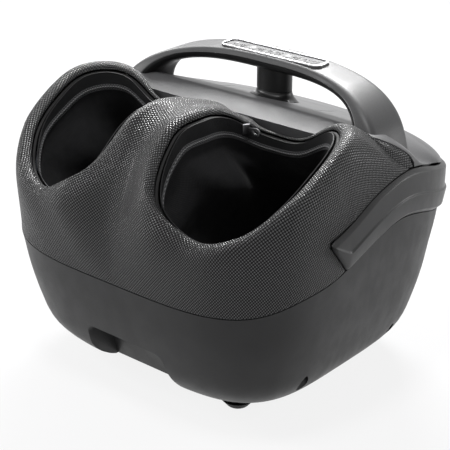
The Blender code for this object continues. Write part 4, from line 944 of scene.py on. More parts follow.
def settled(thing, *tools):
    """Modifiers made part of the mesh, its edges marked again and the tools put away."""
    bpy.context.view_layer.update()
    graph = bpy.context.evaluated_depsgraph_get()
    mesh = bpy.data.meshes.new_from_object(thing.evaluated_get(graph))
    rough = thing.data
    thing.modifiers.clear()
    thing.data = mesh
    bpy.data.meshes.remove(rough)
    edged(mesh)
    for other in tools:
        bpy.data.objects.remove(other)
    return thing


def flattened(thing):
    """UV map in metres, laid out flat from the form of the sheet itself."""
    bpy.context.view_layer.objects.active = thing
    bpy.ops.object.mode_set(mode="EDIT")
    bpy.ops.mesh.select_all(action="SELECT")
    bpy.ops.uv.unwrap(method="MINIMUM_STRETCH", margin=0)
    bpy.ops.object.mode_set(mode="OBJECT")
    mesh = thing.data
    spots = mesh.uv_layers["UVMap"].data
    covered = 0
    for face in mesh.polygons:
        corners = [spots[k].uv for k in face.loop_indices]
        for a, b in zip(corners, corners[1:] + corners[:1]):
            covered += (a.x * b.y - b.x * a.y) / 2
    grow = sqrt(sum(face.area for face in mesh.polygons) / abs(covered))
    for spot in spots:
        spot.uv = spot.uv * grow


# Tub


def tub_ring(level, out):
    """Ring of the tub's wall between its lower edge and the seam."""
    ring = []
    for angle in turns_round(TUB_POINTS, 0.5):
        top = seam_height(outline_y(angle)) - GAP
        ring.append(body_point(angle, blend(TUB_BOTTOM - out, top, level), out))
    return ring


def recess(grow):
    """Arched recess at the front of the tub, with rounded corners."""
    front = -BODY_DEPTH / 2 - OVERRUN
    top = CUTOUT_TOP + grow
    half_top, half_foot = CUTOUT_TOP_HALF + grow, CUTOUT_FOOT_HALF + grow
    start, end = Vector((half_top, top - CUTOUT_CORNER)), Vector((half_top - CUTOUT_CORNER, top))
    corner = Vector((half_top, top))
    outline = [Vector((half_foot, -OVERRUN))]
    outline += [rounded_corner(start, corner, end, k / CORNER_STEPS) for k in range(CORNER_STEPS + 1)]
    outline += [Vector((-point.x, point.y)) for point in reversed(outline)]
    rings = []
    for deep in (0, 1):
        ring = []
        for x, z in outline:
            share = max(z, 0) / top
            back = blend(CUTOUT_BACK_FOOT + grow, CUTOUT_BACK_TOP + grow, share)
            ring.append(Vector((x, back if deep else front, z)))
        rings.append(ring)
    return wrapped(rings)


def circle(x, y, radius, height, points):
    return [Vector((x + radius * cos(t), y + radius * sin(t), height)) for t in turns_round(points)]


def pin(x, y, radius, low, high, points=PIN_POINTS):
    """Upright round solid."""
    return wrapped([circle(x, y, radius, height, points) for height in (low, high)])


def pins(radius, low, high):
    """One pin at each of the four screw wells."""
    places = [(x * WELL_SIDE, y * WELL_PLACE) for x in (-1, 1) for y in (-1, 1)]
    return [pin(x, y, radius, low, high) for x, y in places]


def joined(shapes):
    """Several solids in one mesh."""
    whole = bmesh.new()
    for shape in shapes:
        mesh = bpy.data.meshes.new("part")
        shape.to_mesh(mesh)
        shape.free()
        whole.from_mesh(mesh)
        bpy.data.meshes.remove(mesh)
    return whole


def hollow(name, grow):
    """Recess and screw wells, grown by a wall where they are joined and not cut."""
    wells = pins(WELL_RADIUS + grow, -OVERRUN, WELL_TOP + grow)
    return tool(name, joined([recess(grow)] + wells))


def tub_core(out):
    """Lower part of the tub as a solid, a distance outside its wall."""
    rings = []
    for k in range(CORE_ROWS + 1):
        height = blend(TUB_BOTTOM - out, CHASSIS_BOTTOM + OVERRUN, (k / CORE_ROWS) ** 1.5)
        rings.append([body_point(angle, height, out) for angle in turns_round(TUB_POINTS, 0.5)])
    return wrapped(rings)


def tub():
    levels = [(k / TUB_ROWS) ** 1.6 for k in range(TUB_ROWS + 1)]
    rings = [tub_ring(level, 0.0) for level in levels]
    rings += [tub_ring(level, -SHELL_WALL) for level in levels[::-2]]
    made = piece("tub_skin", wrapped(rings), TUB, ["base_shell"])
    sleeve = tool("sleeve", tub_core(-SHELL_WALL / 2))
    walls, holes = hollow("walls", SHELL_WALL), hollow("holes", 0.0)
    worked(sleeve, walls, "INTERSECT")
    worked(made, sleeve, "UNION")
    worked(made, holes)
    bores = tool("bores", joined(pins(SCREW_RADIUS + GAP, WELL_TOP - OVERRUN, CHASSIS_BOTTOM)))
    worked(made, bores)
    inlet = pin(0, 0, INLET_RADIUS + GAP, BODY_DEPTH / 4, BODY_DEPTH)
    bmesh.ops.rotate(inlet, verts=inlet.verts, matrix=Matrix.Rotation(-pi / 2, 3, "X"))
    bmesh.ops.translate(inlet, verts=inlet.verts, vec=(0, 0, INLET_HEIGHT))
    inlet = tool("inlet", inlet)
    worked(made, inlet)
    return settled(made, sleeve, walls, holes, bores, inlet)


# Cover


def tip_run(share):
    return blend(seam_run(1), belt_run(0), (share * TIP_LINE_COUNT + 1) / (TIP_LINE_COUNT + 1))


def cover_edge():
    """Outer edge of the right half: points, angles at the opening, and the wall's directions there."""
    inward, rearward, down = Vector((-1, 0, 0)), Vector((0, 1, 0)), Vector((0, 0, -1))
    slant = (inward * cos(radians(HUMP_END_FALL)) + down * sin(radians(HUMP_END_FALL))).normalized()
    runs = (
        (seam_run, SEAM_LINE_COUNT, True, HUMP_END_TURN - 360, 4, (slant, down, down)),
        (tip_run, TIP_LINE_COUNT, False, 4.6, 10, (down, down, down)),
        (belt_run, BELT_LINE_COUNT, True, 10, 50, (down, down, rearward)),
        (shoulder_run, SHOULDER_LINE_COUNT, False, 51, 72, (rearward, rearward, rearward)),
        (lip_run, LIP_LINE_COUNT, False, 72, HUMP_START_TURN, (rearward, rearward, inward)),
        (hump_run, HUMP_LINE_COUNT, False, HUMP_START_TURN, HUMP_END_TURN, (inward, inward, slant)),
    )
    edge = []
    for run, count, ended, start, end, (first, middle, last) in runs:
        for k in range(count):
            share = k / (count - 1 if ended else count)
            point = run(share)
            if run is seam_run:
                point = point + Vector((0, 0, SEAM_SHOW))
            if share < 0.5:
                heading = blend(first, middle, ease(share * 4)).normalized()
            else:
                heading = blend(middle, last, ease(share * 2 - 1)).normalized()
            edge.append((point, radians(blend(start, end, share)), heading))
    return edge


def cover_line(point, angle, heading):
    """Section of the cover from the opening over the rim to the outer edge."""
    edge, out = opening_edge(angle), opening_out(angle)
    roll = read_round(RIM_ROLL_SHARES, angle / (2 * pi))
    line = []
    for k in range(ROLL_COUNT + 1):
        turn = pi / 2 * k / ROLL_COUNT
        rise = Vector((0, 0, RIM_ROLL_HEIGHT * roll * sin(turn)))
        line.append(edge + out * RIM_ROLL_WIDTH * roll * (1 - cos(turn)) + rise)
    crest = line[-1]
    reach = (point - crest).length
    side = ease((cos(angle - radians(10)) - 0.1) / 0.6) * ease((0.9 - sin(angle)) / 0.3)
    start = out * reach * blend(*COVER_START_SHARES, side)
    end = heading * reach * COVER_END_SHARE
    for k in range(1, COVER_COUNT + 1):
        first, last, leaving, arriving = curve_weights(k / COVER_COUNT)
        line.append(crest * first + point * last + start * leaving + end * arriving)
    return line


def belt_turns():
    """Angles of the belt's stations from its right tip round the back to its left tip."""
    shares = [k / BELT_SIDE_COUNT for k in range(BELT_SIDE_COUNT + 1)]
    side = [angle_at(blend(BELT_TIP_PLACE, DECK_SIDE_REAR, share)) for share in shares]
    shares = [k / BELT_REAR_COUNT for k in range(1, BELT_REAR_COUNT + 1)]
    side += [blend(side[-1], pi / 2, share) for share in shares]
    return side + [pi - angle for angle in side[-2::-1]]


def belt_room(show):
    """Solid that clears the cover round the belt."""
    ends = [angle_at(BELT_TIP_PLACE - JOINT_SHOW), angle_at(BELT_JOIN_PLACE - 2 * JOINT_GAP)]
    rings = []
    for angle in sorted(ends + belt_turns() + [pi - angle for angle in ends]):
        y = outline_y(angle)
        drop = show if y < BELT_JOIN_PLACE - JOINT_GAP else OVERRUN
        low, high = belt_low(y) - drop, belt_top(y) + show
        line = ((-BELT_ROOM, low), (BELT_ROOM, low), (BELT_ROOM, high), (-BELT_ROOM, high))
        rings.append([body_point(angle, height, out) for out, height in line])
    return tool("belt_room", wrapped(rings))


def rim_gap(point):
    """Distance in plan of a point from the edge of the opening on its side."""
    spot = Vector((abs(point.x) - OPENING_SIDE, point.y - OPENING_PLACE))
    edge = opening_edge(atan2(spot.y, spot.x))
    return spot.length - Vector((edge.x - OPENING_SIDE, edge.y - OPENING_PLACE)).length


def cover(room):
    lines = [cover_line(*entry) for entry in cover_edge()]
    count, last = len(lines), ROLL_COUNT + COVER_COUNT
    shape = laid(count, last, lambda u, v: lines[round(u * count) % count][round(v * last)])
    for vert in shape.verts:
        if abs(vert.co.x) < WELD:
            vert.co.x = 0
    whole = shape.verts[:] + shape.edges[:] + shape.faces[:]
    bmesh.ops.mirror(shape, geom=whole, axis="X", merge_dist=WELD * 3)
    bmesh.ops.remove_doubles(shape, verts=shape.verts, dist=WELD * 3)
    every_way = {"use_axis_x": True, "use_axis_y": True, "use_axis_z": True}
    for reach, away, rounds in FAIRING_STAGES:
        near = [v for v in shape.verts if abs(v.co.x) < reach and v.co.y < FAIRING_REAR]
        near = [v for v in near if not v.is_boundary and rim_gap(v.co) > away]
        for _ in range(rounds):
            bmesh.ops.smooth_vert(shape, verts=near, factor=0.5, **every_way)
    made = piece("cover_skin", faced(shape), COVER, ["front_cover"])
    flattened(made)
    walled(made, COVER_WALL)
    worked(made, room, solver="MANIFOLD")
    return settled(made)


# Belt


def belt_section(angle, along):
    """Section of the belt at an angle, drawn in to a round end at each tip."""
    y = outline_y(angle)
    low, high = belt_low(y) + GAP, belt_top(y) - GAP
    grown = sqrt(1 - (1 - min(along / BELT_TIP_LENGTH, 1)) ** 2)
    middle = (low + high) / 2
    share = blend(BELT_END_SHARE, 1, grown)
    low, high = blend(middle, low, share), blend(middle, high, share)
    proud = BELT_PROUD * max(grown, 0.15)
    crease = blend(low, high, BELT_CREASE_SHARE)
    bevel = min(BELT_BEVEL, (high - low) * 0.4)
    line = (
        (-SHELL_WALL, low),
        (0.0, low),
        (proud, low + bevel),
        (proud + BELT_CREASE_OUT * grown, crease),
        (proud, min(crease + BELT_CREASE_OUT, high - bevel * 1.02)),
        (proud, high - bevel),
        (0.0, high),
        (-SHELL_WALL, high),
    )
    return [body_point(angle, height, out) for out, height in softened(line, BELT_SOFT)]


def belt():
    turns = belt_turns()
    tip = body_point(turns[0], BULGE_HEIGHT)
    sections = []
    for k, angle in enumerate(turns):
        mirror = angle if angle < pi / 2 else pi - angle
        sections.append(belt_section(angle, (body_point(mirror, BULGE_HEIGHT) - tip).length))
    return piece("belt_skin", wrapped(sections), BELT, ["trim_belt"])


# Deck


def deck_place(share):
    """Column of the deck, closer together towards the sides where it turns down."""
    place = 2 * share - 1
    return copysign(1 - (1 - abs(place)) ** 1.6, place)


def deck_row(share):
    """Row of the deck, with the face at its front and the crease behind it."""
    crease, edge = DECK_ROW_SHARES
    if share < crease:
        return DECK_CREASE_SHARE * share / crease
    if share < edge:
        return blend(DECK_CREASE_SHARE, 1, (share - crease) / (edge - crease))
    return 1 + ((share - edge) / (1 - edge)) ** 0.8


def slit(points, low=-SLIT_DEPTH, high=OVERRUN):
    """Groove cut along a line of points on the deck."""
    rings = []
    last = len(points) - 1
    down, up = Vector((0, 0, low)), Vector((0, 0, high))
    for k, point in enumerate(points):
        ahead = (points[min(k + 1, last)] - points[max(k - 1, 0)]).normalized()
        side = Vector((ahead.y, -ahead.x, 0)) * SLIT_WIDTH / 2 * max(sin(pi * k / last), 0.25)
        rings.append([point - side + down, point + side + down, point + side + up, point - side + up])
    return wrapped(rings)


def deck_spot(x, y):
    """Point of the deck's surface over a place in plan."""
    row = (y - LIP_PLACE) / (DECK_REAR_PLACE - LIP_PLACE)
    for _ in range(12):
        across = x / (outline_x(y) - DECK_SIDE_INSET)
        point = deck_point(across, row)
        row += (y - point.y) / (DECK_REAR_PLACE - LIP_PLACE)
    return deck_point(across, row)


def slits():
    """Two thin curved slits on either side of the post, each with a dark sheet inside as painted shade.
    """
    shapes, painted_shade_sheets = [], []
    for sign in (-1, 1):
        spots = []
        for k in range(SLIT_STEPS + 1):
            t = k / SLIT_STEPS
            x = sign * (SLIT_SIDE + SLIT_BOW * sin(pi * t))
            spots.append(deck_spot(x, blend(SLIT_FRONT, SLIT_REAR, t)))
        shapes.append(slit(spots))
        # Dark sheet just below the deck surface in each groove: painted shade.
        painted_shade_sheets.append(slit(spots, -SLIT_DEPTH * 1.2, -SLIT_DEPTH * 0.2))
    piece("slit_shade", joined(painted_shade_sheets), DARK)
    return tool("slits", joined(shapes))


def deck():
    def place(u, v):
        column = deck_place(u)
        step = round(v * DECK_ROWS)
        if step > DECK_FACE_ROWS:
            row = (step - DECK_FACE_ROWS) / (DECK_ROWS - DECK_FACE_ROWS)
            return deck_point(column, deck_row(row))
        least = FACE_LEAST * (1 - 0.9 * ease((abs(column) - 0.95) / 0.05))
        drop = deck_face(abs(column)) + least
        share = (DECK_FACE_ROWS - step) / DECK_FACE_ROWS
        return deck_point(column, 0) - Vector((0, 0, drop * share))

    shape = faced(laid(DECK_COLUMNS, DECK_ROWS, place))
    made = piece("deck_skin", shape, DECK, ["rear_deck"])
    walled(made, DECK_WALL)
    arms = tool("arms", handle_solid(SEAT_GAP))
    collar = pin(0, 0, 1.0, COLLAR_BOTTOM - OVERRUN, POST_SEAM_HEIGHT + OVERRUN, POST_POINTS)
    half_x, half_y = FLARE_HALF_WIDTH + GAP, FLARE_HALF_LENGTH + GAP
    bmesh.ops.scale(collar, verts=collar.verts, vec=(half_x, half_y, 1))
    bmesh.ops.translate(collar, verts=collar.verts, vec=(0, POST_PLACE, 0))
    collar = tool("collar", collar)
    grooves = slits()
    for other in (arms, collar, grooves):
        worked(made, other)
    return settled(made, arms, collar, grooves)


# Handle


def arch_shares(count=120):
    return [0.5 - 0.5 * cos(pi * k / count) for k in range(count + 1)]


def handle_corners(deep, front, rear):
    """Round corners of the upper shell's outside, from the front to the rear."""
    turn = HANDLE_ROUND
    ahead = [(deep - turn * down, front + turn * back) for down, back in HANDLE_CORNER]
    return ahead + [(deep - turn * down, rear - turn * back) for down, back in HANDLE_CORNER[::-1]]


def upper_section(share):
    """Section of the handle's upper shell, open towards the lower one."""
    outer, middle, _, front, rear = handle_station(share)
    wall, turn = HANDLE_WALL, HANDLE_ROUND
    deep = (outer - middle).length
    line = [
        (0.0, front),
        *handle_corners(deep, front, rear),
        (0.0, rear),
        (0.0, rear - wall),
        (deep - turn - wall, rear - wall),
        (deep - wall, rear - turn - wall),
        (deep - wall, front + turn + wall),
        (deep - turn - wall, front + wall),
        (0.0, front + wall),
    ]
    return [placed(middle, outer, height / deep, y) for height, y in softened(line, HANDLE_SOFT)]


def lower_section(share):
    """Section of the handle's lower shell, round below."""
    _, middle, belly, front, rear = handle_station(share)
    centre, half = (front + rear) / 2, (rear - front) / 2
    deep = (middle - belly).length
    gap, thin = GAP / deep, HANDLE_WALL / deep
    outside, inside = [], []
    for k in range(25):
        turn = pi * k / 24
        across, down = cos(turn), sin(turn) ** HANDLE_BELLY_POWER
        outside.append((1 - gap - (1 - gap) * down, centre - half * across))
        inside.append((1 - gap - (1 - gap - thin) * down, centre - (half - HANDLE_WALL) * across))
    return [placed(belly, middle, place, y) for place, y in outside + inside[::-1]]


def handle_solid(grow):
    """Solid that holds the whole handle, for the holes of what it passes through."""
    rings = []
    for share in arch_shares(60):
        outer, middle, belly, front, rear = handle_station(share, grow)
        deep = (outer - middle).length
        corners = handle_corners(deep, front, rear)
        ring = [placed(middle, outer, height / deep, y) for height, y in corners]
        centre, half = (front + rear) / 2, (rear - front) / 2
        for k in range(21):
            angle = pi * k / 20
            down = sin(angle) ** HANDLE_BELLY_POWER
            ring.append(placed(middle, belly, down, centre + half * cos(angle)))
        rings.append(ring)
    return wrapped(rings)


def handle():
    shares = arch_shares()
    upper = wrapped([upper_section(share) for share in shares])
    upper = piece("handle_upper_skin", upper, ARCH, ["handle_upper_shell"])
    size = (PANEL_HALF_LENGTH + GAP, PANEL_HALF_WIDTH + GAP, TRIM_CORNER + GAP)
    ends = (TRIM_TOP - 2 * TRIM_HEIGHT, TRIM_TOP + OVERRUN)
    opening = tool("panel_opening", wrapped([round_box(*size, height) for height in ends]))
    worked(upper, opening)
    settled(upper, opening)
    lower = wrapped([lower_section(share) for share in shares])
    piece("handle_lower_skin", lower, DARK, ["handle_lower_shell"])


# Panel


def inset_box(inset, height):
    """Ring of the panel's outline, drawn in by an inset."""
    half_x, half_y = PANEL_HALF_LENGTH - inset, PANEL_HALF_WIDTH - inset
    return round_box(half_x, half_y, TRIM_CORNER - inset, height)


def key_box(inset, height, x):
    """Ring of a key's outline, drawn in by an inset."""
    size = (BUTTON_HALF_LENGTH - inset, BUTTON_HALF_WIDTH - inset, BUTTON_CORNER - inset)
    return round_box(*size, height, x)


def panel():
    """Bright frame, the plate in it, and the five keys that stand just proud of the plate."""
    bottom, edge = TRIM_TOP - TRIM_HEIGHT, TRIM_WIDTH * TRIM_EDGE_SHARE
    steps = ((0, bottom), (0, TRIM_TOP - edge), (edge * 0.3, TRIM_TOP - edge * 0.3), (edge, TRIM_TOP))
    rings = [inset_box(inset, height) for inset, height in steps]
    rings += [inset_box(TRIM_WIDTH - inset, height) for inset, height in reversed(steps)]
    piece("panel_trim_skin", wrapped(rings, False), SILVER, ["panel_trim"])
    rings = [inset_box(TRIM_WIDTH + KEY_GAP, z) for z in (PLATE_TOP - PLATE_THICKNESS, PLATE_TOP)]
    plate = piece("panel_plate_skin", wrapped(rings), PLATE, ["panel_plate"])
    ends = (PLATE_TOP - OVERRUN, PLATE_TOP + OVERRUN)
    holes = [wrapped([key_box(-KEY_GAP, height, x) for height in ends]) for x in button_places()]
    holes = tool("key_holes", joined(holes))
    worked(plate, holes)
    settled(plate, holes)
    top = PLATE_TOP + BUTTON_PROUD
    steps = ((0, PLATE_TOP - KEY_DEPTH), (0, top - BUTTON_PROUD), (BUTTON_PROUD, top))
    for index, x in enumerate(button_places(), 1):
        name = f"button_{index}"
        cap = wrapped([key_box(inset, height, x) for inset, height in steps])
        piece(f"{name}_cap", cap, PLATE, [name], name)


# Post


def oval_ring(half_x, half_y, height):
    turns = turns_round(POST_POINTS)
    return [Vector((half_x * cos(t), POST_PLACE + half_y * sin(t), height)) for t in turns]


def post():
    """Flared collar on the deck, and the sleeve that stands on it up to the handle."""
    rings = [oval_ring(FLARE_HALF_WIDTH, FLARE_HALF_LENGTH, COLLAR_BOTTOM)]
    for k in range(COLLAR_ROWS + 3):
        share = k / COLLAR_ROWS
        bend = max(1 - share, 0) ** 2
        shrink = COLLAR_EDGE * max(k - COLLAR_ROWS, 0)
        half_x = blend(POST_HALF_WIDTH, FLARE_HALF_WIDTH, bend) - shrink
        half_y = blend(POST_HALF_LENGTH, FLARE_HALF_LENGTH, bend) - shrink
        ring = []
        for point in oval_ring(half_x, half_y, 0.0):
            floor = deck_top(0.0, (point.y - LIP_PLACE) / (DECK_REAR_PLACE - LIP_PLACE)) + GAP
            height = blend(floor, POST_SEAM_HEIGHT - COLLAR_EDGE, min(share, 1))
            ring.append(Vector((point.x, point.y, height + shrink)))
        rings.append(ring)
    piece("post_collar_skin", wrapped(rings), DARK, ["post_collar"])
    foot, head = POST_SEAM_HEIGHT + GAP, ARCH_FOOT_HEIGHT + ARCH_EDGE_RISE
    rings = []
    for inset, height in ((POST_BEVEL, foot), (0, foot + POST_BEVEL), (0, head)):
        rings.append(oval_ring(POST_HALF_WIDTH - inset, POST_HALF_LENGTH - inset, height))
    sleeve = piece("post_sleeve_skin", wrapped(rings), DARK, ["post_sleeve"])
    arms = tool("arms", handle_solid(SEAT_GAP))
    worked(sleeve, arms)
    settled(sleeve, arms)


# Foot pockets


def gasket(side, sign):
    """Dark strip that clamps the cloth inside the rim."""
    outer, inner = -GAP, -GAP - GASKET_WIDTH
    line = ((outer, 0), (outer, -GASKET_HEIGHT), (inner, -GASKET_HEIGHT), (inner, -GASKET_LIP))
    line = softened(line, GASKET_SOFT)
    sections = []
    for angle in turns_round(GASKET_POINTS):
        edge, out = opening_edge(angle), opening_out(angle)
        top = edge - Vector((0, 0, GASKET_DROP))
        section = [top + out * across + Vector((0, 0, rise)) for across, rise in line]
        sections.append([flipped(point, sign) for point in section])
    piece(f"{side}_gasket_skin", wrapped(sections, False), RUBBER, [f"{side}_gasket"])


def pocket_depth(angle):
    return pocket_point(angle, 0).z - pocket_point(angle, 1).z


def tape_share(angle):
    """How far down the pocket the zip tape runs at an angle."""
    return read_round(TAPE_DROPS, angle / (2 * pi)) / pocket_depth(angle)


def cloth_push(angle, share):
    """How far the cloth stands inwards, where the airbags press and where it folds."""
    push = 0.0
    for turn, level, wide, tall, rise in CLOTH_BULGES:
        away = (angle - radians(turn) + pi) % (2 * pi) - pi
        beside = max(1 - (away / radians(wide)) ** 2, 0) ** 2
        push += rise * beside * max(1 - ((share - level) / tall) ** 2, 0) ** 2
    ripple = sin(angle * 9 + 5 * share) * sin(pi * min(share * 1.4, 1))
    return push + CLOTH_RIPPLE * (1 + ripple) * ease(share * 4)


def cloth_point(angle, share, lift=0.0):
    """Point of the cloth with its bulges. Beyond a share of 1 it closes over the sole."""
    point = pocket_point(angle, min(share, 1))
    inward = -opening_out(angle)
    if share <= 1:
        return point + inward * (cloth_push(angle, share) + lift)
    point = point + inward * cloth_push(angle, 1)
    over = share - 1
    middle = Vector((POCKET_SIDE, POCKET_PLACE, point.z))
    drop = POCKET_ROUND * sqrt(1 - (1 - min(over / POCKET_ROUND_SHARE, 1)) ** 2)
    return middle + (point - middle) * (1 - over) - Vector((0, 0, drop))


def liner(side, sign):
    """Cloth pocket of one foot, with the zip tape that runs round it."""

    def place(u, v):
        sole = 1 / CLOTH_STRETCH
        share = v * CLOTH_STRETCH if v < sole else 1 + (v - sole) / (1 - sole)
        return flipped(cloth_point(2 * pi * u, share), sign)

    shape = faced(laid(CLOTH_POINTS, CLOTH_ROWS, place, CLOTH_FLAT), lowest=True)
    collar = shape.verts.layers.float.new("collar")
    for vert in shape.verts:
        spot = Vector((sign * vert.co.x - OPENING_SIDE, vert.co.y - OPENING_PLACE))
        angle = atan2(spot.y, spot.x)
        drop = pocket_point(angle, 0).z - vert.co.z
        vert[collar] = 1 - ease((drop / pocket_depth(angle) - tape_share(angle)) / 0.02)
    cloth = piece(f"{side}_lining", shape, LINING, [f"{side}_liner"])
    walled(cloth, CLOTH_SHEET)
    settled(cloth)
    return cloth, zip_band(side, sign)


def zip_band(side, sign):
    """Zip tape with its coil, laid on the cloth."""
    def place(u, v):
        angle = 2 * pi * u
        across = blend(-1, 1, round(v * TAPE_ROWS) / TAPE_ROWS)
        rise = COIL_RADIUS * sqrt(max(1 - (across / COIL_SHARE) ** 2, 0))
        share = tape_share(angle) + across * TAPE_WIDTH / 2 / pocket_depth(angle)
        return flipped(cloth_point(angle, share, TAPE_LIFT + rise + TAPE_SHEET), sign)

    shape = laid(TAPE_POINTS, TAPE_ROWS, place, (TAPE_FLAT, TAPE_WIDTH))
    bmesh.ops.recalc_face_normals(shape, faces=shape.faces)
    mark = shape.faces[:][0]
    spot = mark.calc_center_median()
    centre = Vector((sign * OPENING_SIDE, OPENING_PLACE, spot.z))
    if mark.normal.dot(centre - spot) < 0:
        bmesh.ops.reverse_faces(shape, faces=shape.faces)
    band = piece(f"{side}_zip_tape", shape, TAPE)
    walled(band, TAPE_SHEET)
    return settled(band)


def airbag(name, sign, turns, shares):
    """Air cushion that lies on the outside of the cloth, crowned between its welded edges."""
    def sheet_point(u, v, far):
        angle = radians(blend(*turns, u))
        share = blend(*shares, v)
        step = AIRBAG_STEP
        along = pocket_point(angle + step, share) - pocket_point(angle - step, share)
        down = pocket_point(angle, share + step) - pocket_point(angle, share - step)
        out = along.cross(-down).normalized()
        crown = max(sin(pi * v) * sin(pi * u), 0) ** 0.5
        reach = CLOTH_WALL + AIRBAG_GAP
        if far:
            reach += AIRBAG_SEAM / 2 + (AIRBAG_THICKNESS - AIRBAG_SEAM) * crown
        return flipped(pocket_point(angle, share) + out * reach, sign)

    sheets = []
    for far in (False, True):
        sheets.append(laid(*AIRBAG_POINTS, lambda u, v: sheet_point(u, v, far), AIRBAG_FLAT))
    whole = joined(sheets)
    rim = [edge for edge in whole.edges if edge.is_boundary]
    bmesh.ops.bridge_loops(whole, edges=rim)
    bmesh.ops.recalc_face_normals(whole, faces=whole.faces)
    made = piece(f"{name}_skin", whole, FILM, [name])


def bevelled(shape, edges, offset, segments):
    ways = {"affect": "EDGES", "profile": 0.5, "material": -1}
    bmesh.ops.bevel(shape, geom=edges, offset=offset, segments=segments, **ways)


def puller_plate():
    """Puller with its eye, standing upright from its hinge."""
    thin = PULLER_THICKNESS / 2
    middle = PULLER_LENGTH * 0.5 + PULLER_SHIFT
    taper = PULLER_LENGTH * PULLER_TAPER_SHARE
    eye = PULLER_LENGTH * PULLER_EYE_SHARE
    outer, inner = [], []
    for t in turns_round(PULLER_POINTS, 0.5):
        spot = plan(t, PULLER_LENGTH / 2, PULLER_WIDTH / 2, 4.0)
        down = middle + spot.x
        outer.append((spot.y * min(PULLER_NECK_SHARE + down / taper, 1), down))
        inner.append((PULLER_EYE_HALF_WIDTH * sin(t), eye + PULLER_EYE_HALF_LENGTH * cos(t)))
    lines = []
    for ring, at in ((inner, -thin), (outer, -thin), (outer, thin), (inner, thin)):
        lines.append([Vector((at, y, z)) for y, z in ring])
    shape = wrapped(lines, False)
    rims = [edge for edge in shape.edges if edge.calc_face_angle(0) > radians(60)]
    bevelled(shape, rims, PULLER_BEVEL, 2)
    return shape


def zip_pull(side, sign):
    """Slider on the zip, and the puller plate that hangs from it into the pocket."""
    place = flipped(pocket_point(radians(ZIP_TURN), ZIP_SHARE), sign)
    inward = flipped(-opening_out(radians(ZIP_TURN)), sign)
    centre = place + inward * (ZIP_SLIDER_THICKNESS / 2 + ZIP_GAP)
    turn = Matrix.Rotation(atan2(inward.y, inward.x), 4, "Z")
    half = Vector((ZIP_SLIDER_THICKNESS / 2, ZIP_SLIDER_WIDTH / 2, ZIP_SLIDER_LENGTH / 2))
    shape = bmesh.new()
    bmesh.ops.create_cube(shape, size=2, matrix=Matrix.Diagonal((*half, 1)))
    bevelled(shape, shape.edges[:], SLIDER_BEVEL, 3)
    bmesh.ops.transform(shape, verts=shape.verts, matrix=Matrix.Translation(centre) @ turn)
    piece(f"{side}_slider_skin", shape, ZINC, [f"{side}_zip_slider"])
    away = half.x + PULLER_THICKNESS / 2 + PULLER_CLEAR
    hinge = centre + inward * away + Vector((0, 0, half.z / 2))
    shape = puller_plate()
    lean = Matrix.Rotation(radians(PULLER_TURN), 4, "Y")
    swung = Matrix.Rotation(radians(PULLER_SWING), 4, "X")
    stand = Matrix.Translation(hinge) @ turn @ swung @ lean
    bmesh.ops.transform(shape, verts=shape.verts, matrix=stand)
    bmesh.ops.recalc_face_normals(shape, faces=shape.faces)
    piece(f"{side}_puller_skin", shape, ZINC, [f"{side}_zip_puller"], f"{side}_puller")


def pockets():
    for side, sign in (("left", -1), ("right", 1)):
        gasket(side, sign)
        cloth, tape = liner(side, sign)
        airbag(f"{side}_outer_airbag", sign, OUTER_BAG_TURNS, OUTER_BAG_SHARES)
        airbag(f"{side}_instep_airbag", sign, INSTEP_BAG_TURNS, INSTEP_BAG_SHARES)
        zip_pull(side, sign)


# Signs of the buttons


def bar(shape, start, end, width=PRINT_WIDTH):
    """Printed stroke between two places on the panel, in millimetres from the button's middle."""
    a, b = Vector((*start, 0)) * SIGN_SCALE, Vector((*end, 0)) * SIGN_SCALE
    run = b - a
    turn = Matrix.Rotation(atan2(run.y, run.x), 4, "Z")
    size = Matrix.Diagonal(((run.length + width) / 2, width / 2, PRINT_HEIGHT / 2, 1))
    bmesh.ops.create_cube(shape, size=2, matrix=Matrix.Translation((a + b) / 2) @ turn @ size)


def hoop(shape, x, radius, start=0, end=360):
    turns = [radians(blend(start, end, k / HOOP_STEPS)) for k in range(HOOP_STEPS + 1)]
    spots = [(x + radius * cos(t), radius * sin(t)) for t in turns]
    for a, b in zip(spots, spots[1:]):
        bar(shape, a, b)


def signs():
    """A stroke sign and a ring on each button: switch, heat, kneading, air, time."""
    side = SIGN_SIDE
    waves = [(x, y) for x in (side - 1.4, side, side + 1.4) for y in (-1.8, -0.6, 0.6)]
    strokes = (
        ([(1.9, 120, 420)], [((side, 0.4), (side, 2.5))]),
        ([], [((x, y), (x + (0.5 if y == -0.6 else -0.5), y + 1.2)) for x, y in waves]),
        ([(2.1, 30, 280), (1.0, 210, 460)], []),
        ([], [((-5.4, y), (end, y)) for y, end in ((1.5, -2.2), (0.0, -1.4), (-1.5, -2.8))]),
        ([(2.1, 0, 360)], [((side, 0), (side, 1.3)), ((side, 0), (-2.5, 0))]),
    )
    for index, (x, (hoops, bars)) in enumerate(zip(button_places(), strokes), 1):
        shape = bmesh.new()
        for radius, start, end in hoops:
            hoop(shape, side, radius, start, end)
        for start, end in bars:
            bar(shape, start, end)
        hoop(shape, *SIGN_RING)
        top = PLATE_TOP + BUTTON_PROUD + PRINT_HEIGHT / 2 + GAP / 10
        bmesh.ops.translate(shape, verts=shape.verts, vec=(x, PANEL_PLACE, top))
        piece(f"button_{index}_sign", shape, PRINT, (), f"button_{index}")


# Finishes of the nodes that keep their shape


NODE_FINISHES = (
    (BOARD, ("panel_board", "main_board")),
    (DARK, ("bottom_plate", "power_inlet")),
    (HOUSING, ("chassis", "air_pump", "air_valve")),
    (RUBBER, ("foot_",)),
    (NODES, ("_disc",)),
    (HEATER, ("_heater",)),
    (STEEL, ("tub_screw", "_shaft", "_motor")),
)


def dressed_nodes():
    """Finish of each node whose name has one of the words beside it."""
    for name, thing in frame["nodes"].items():
        for finish, words in NODE_FINISHES:
            if any(word in name for word in words):
                for spot in thing.material_slots:
                    spot.material = finish


# Stage, light and camera


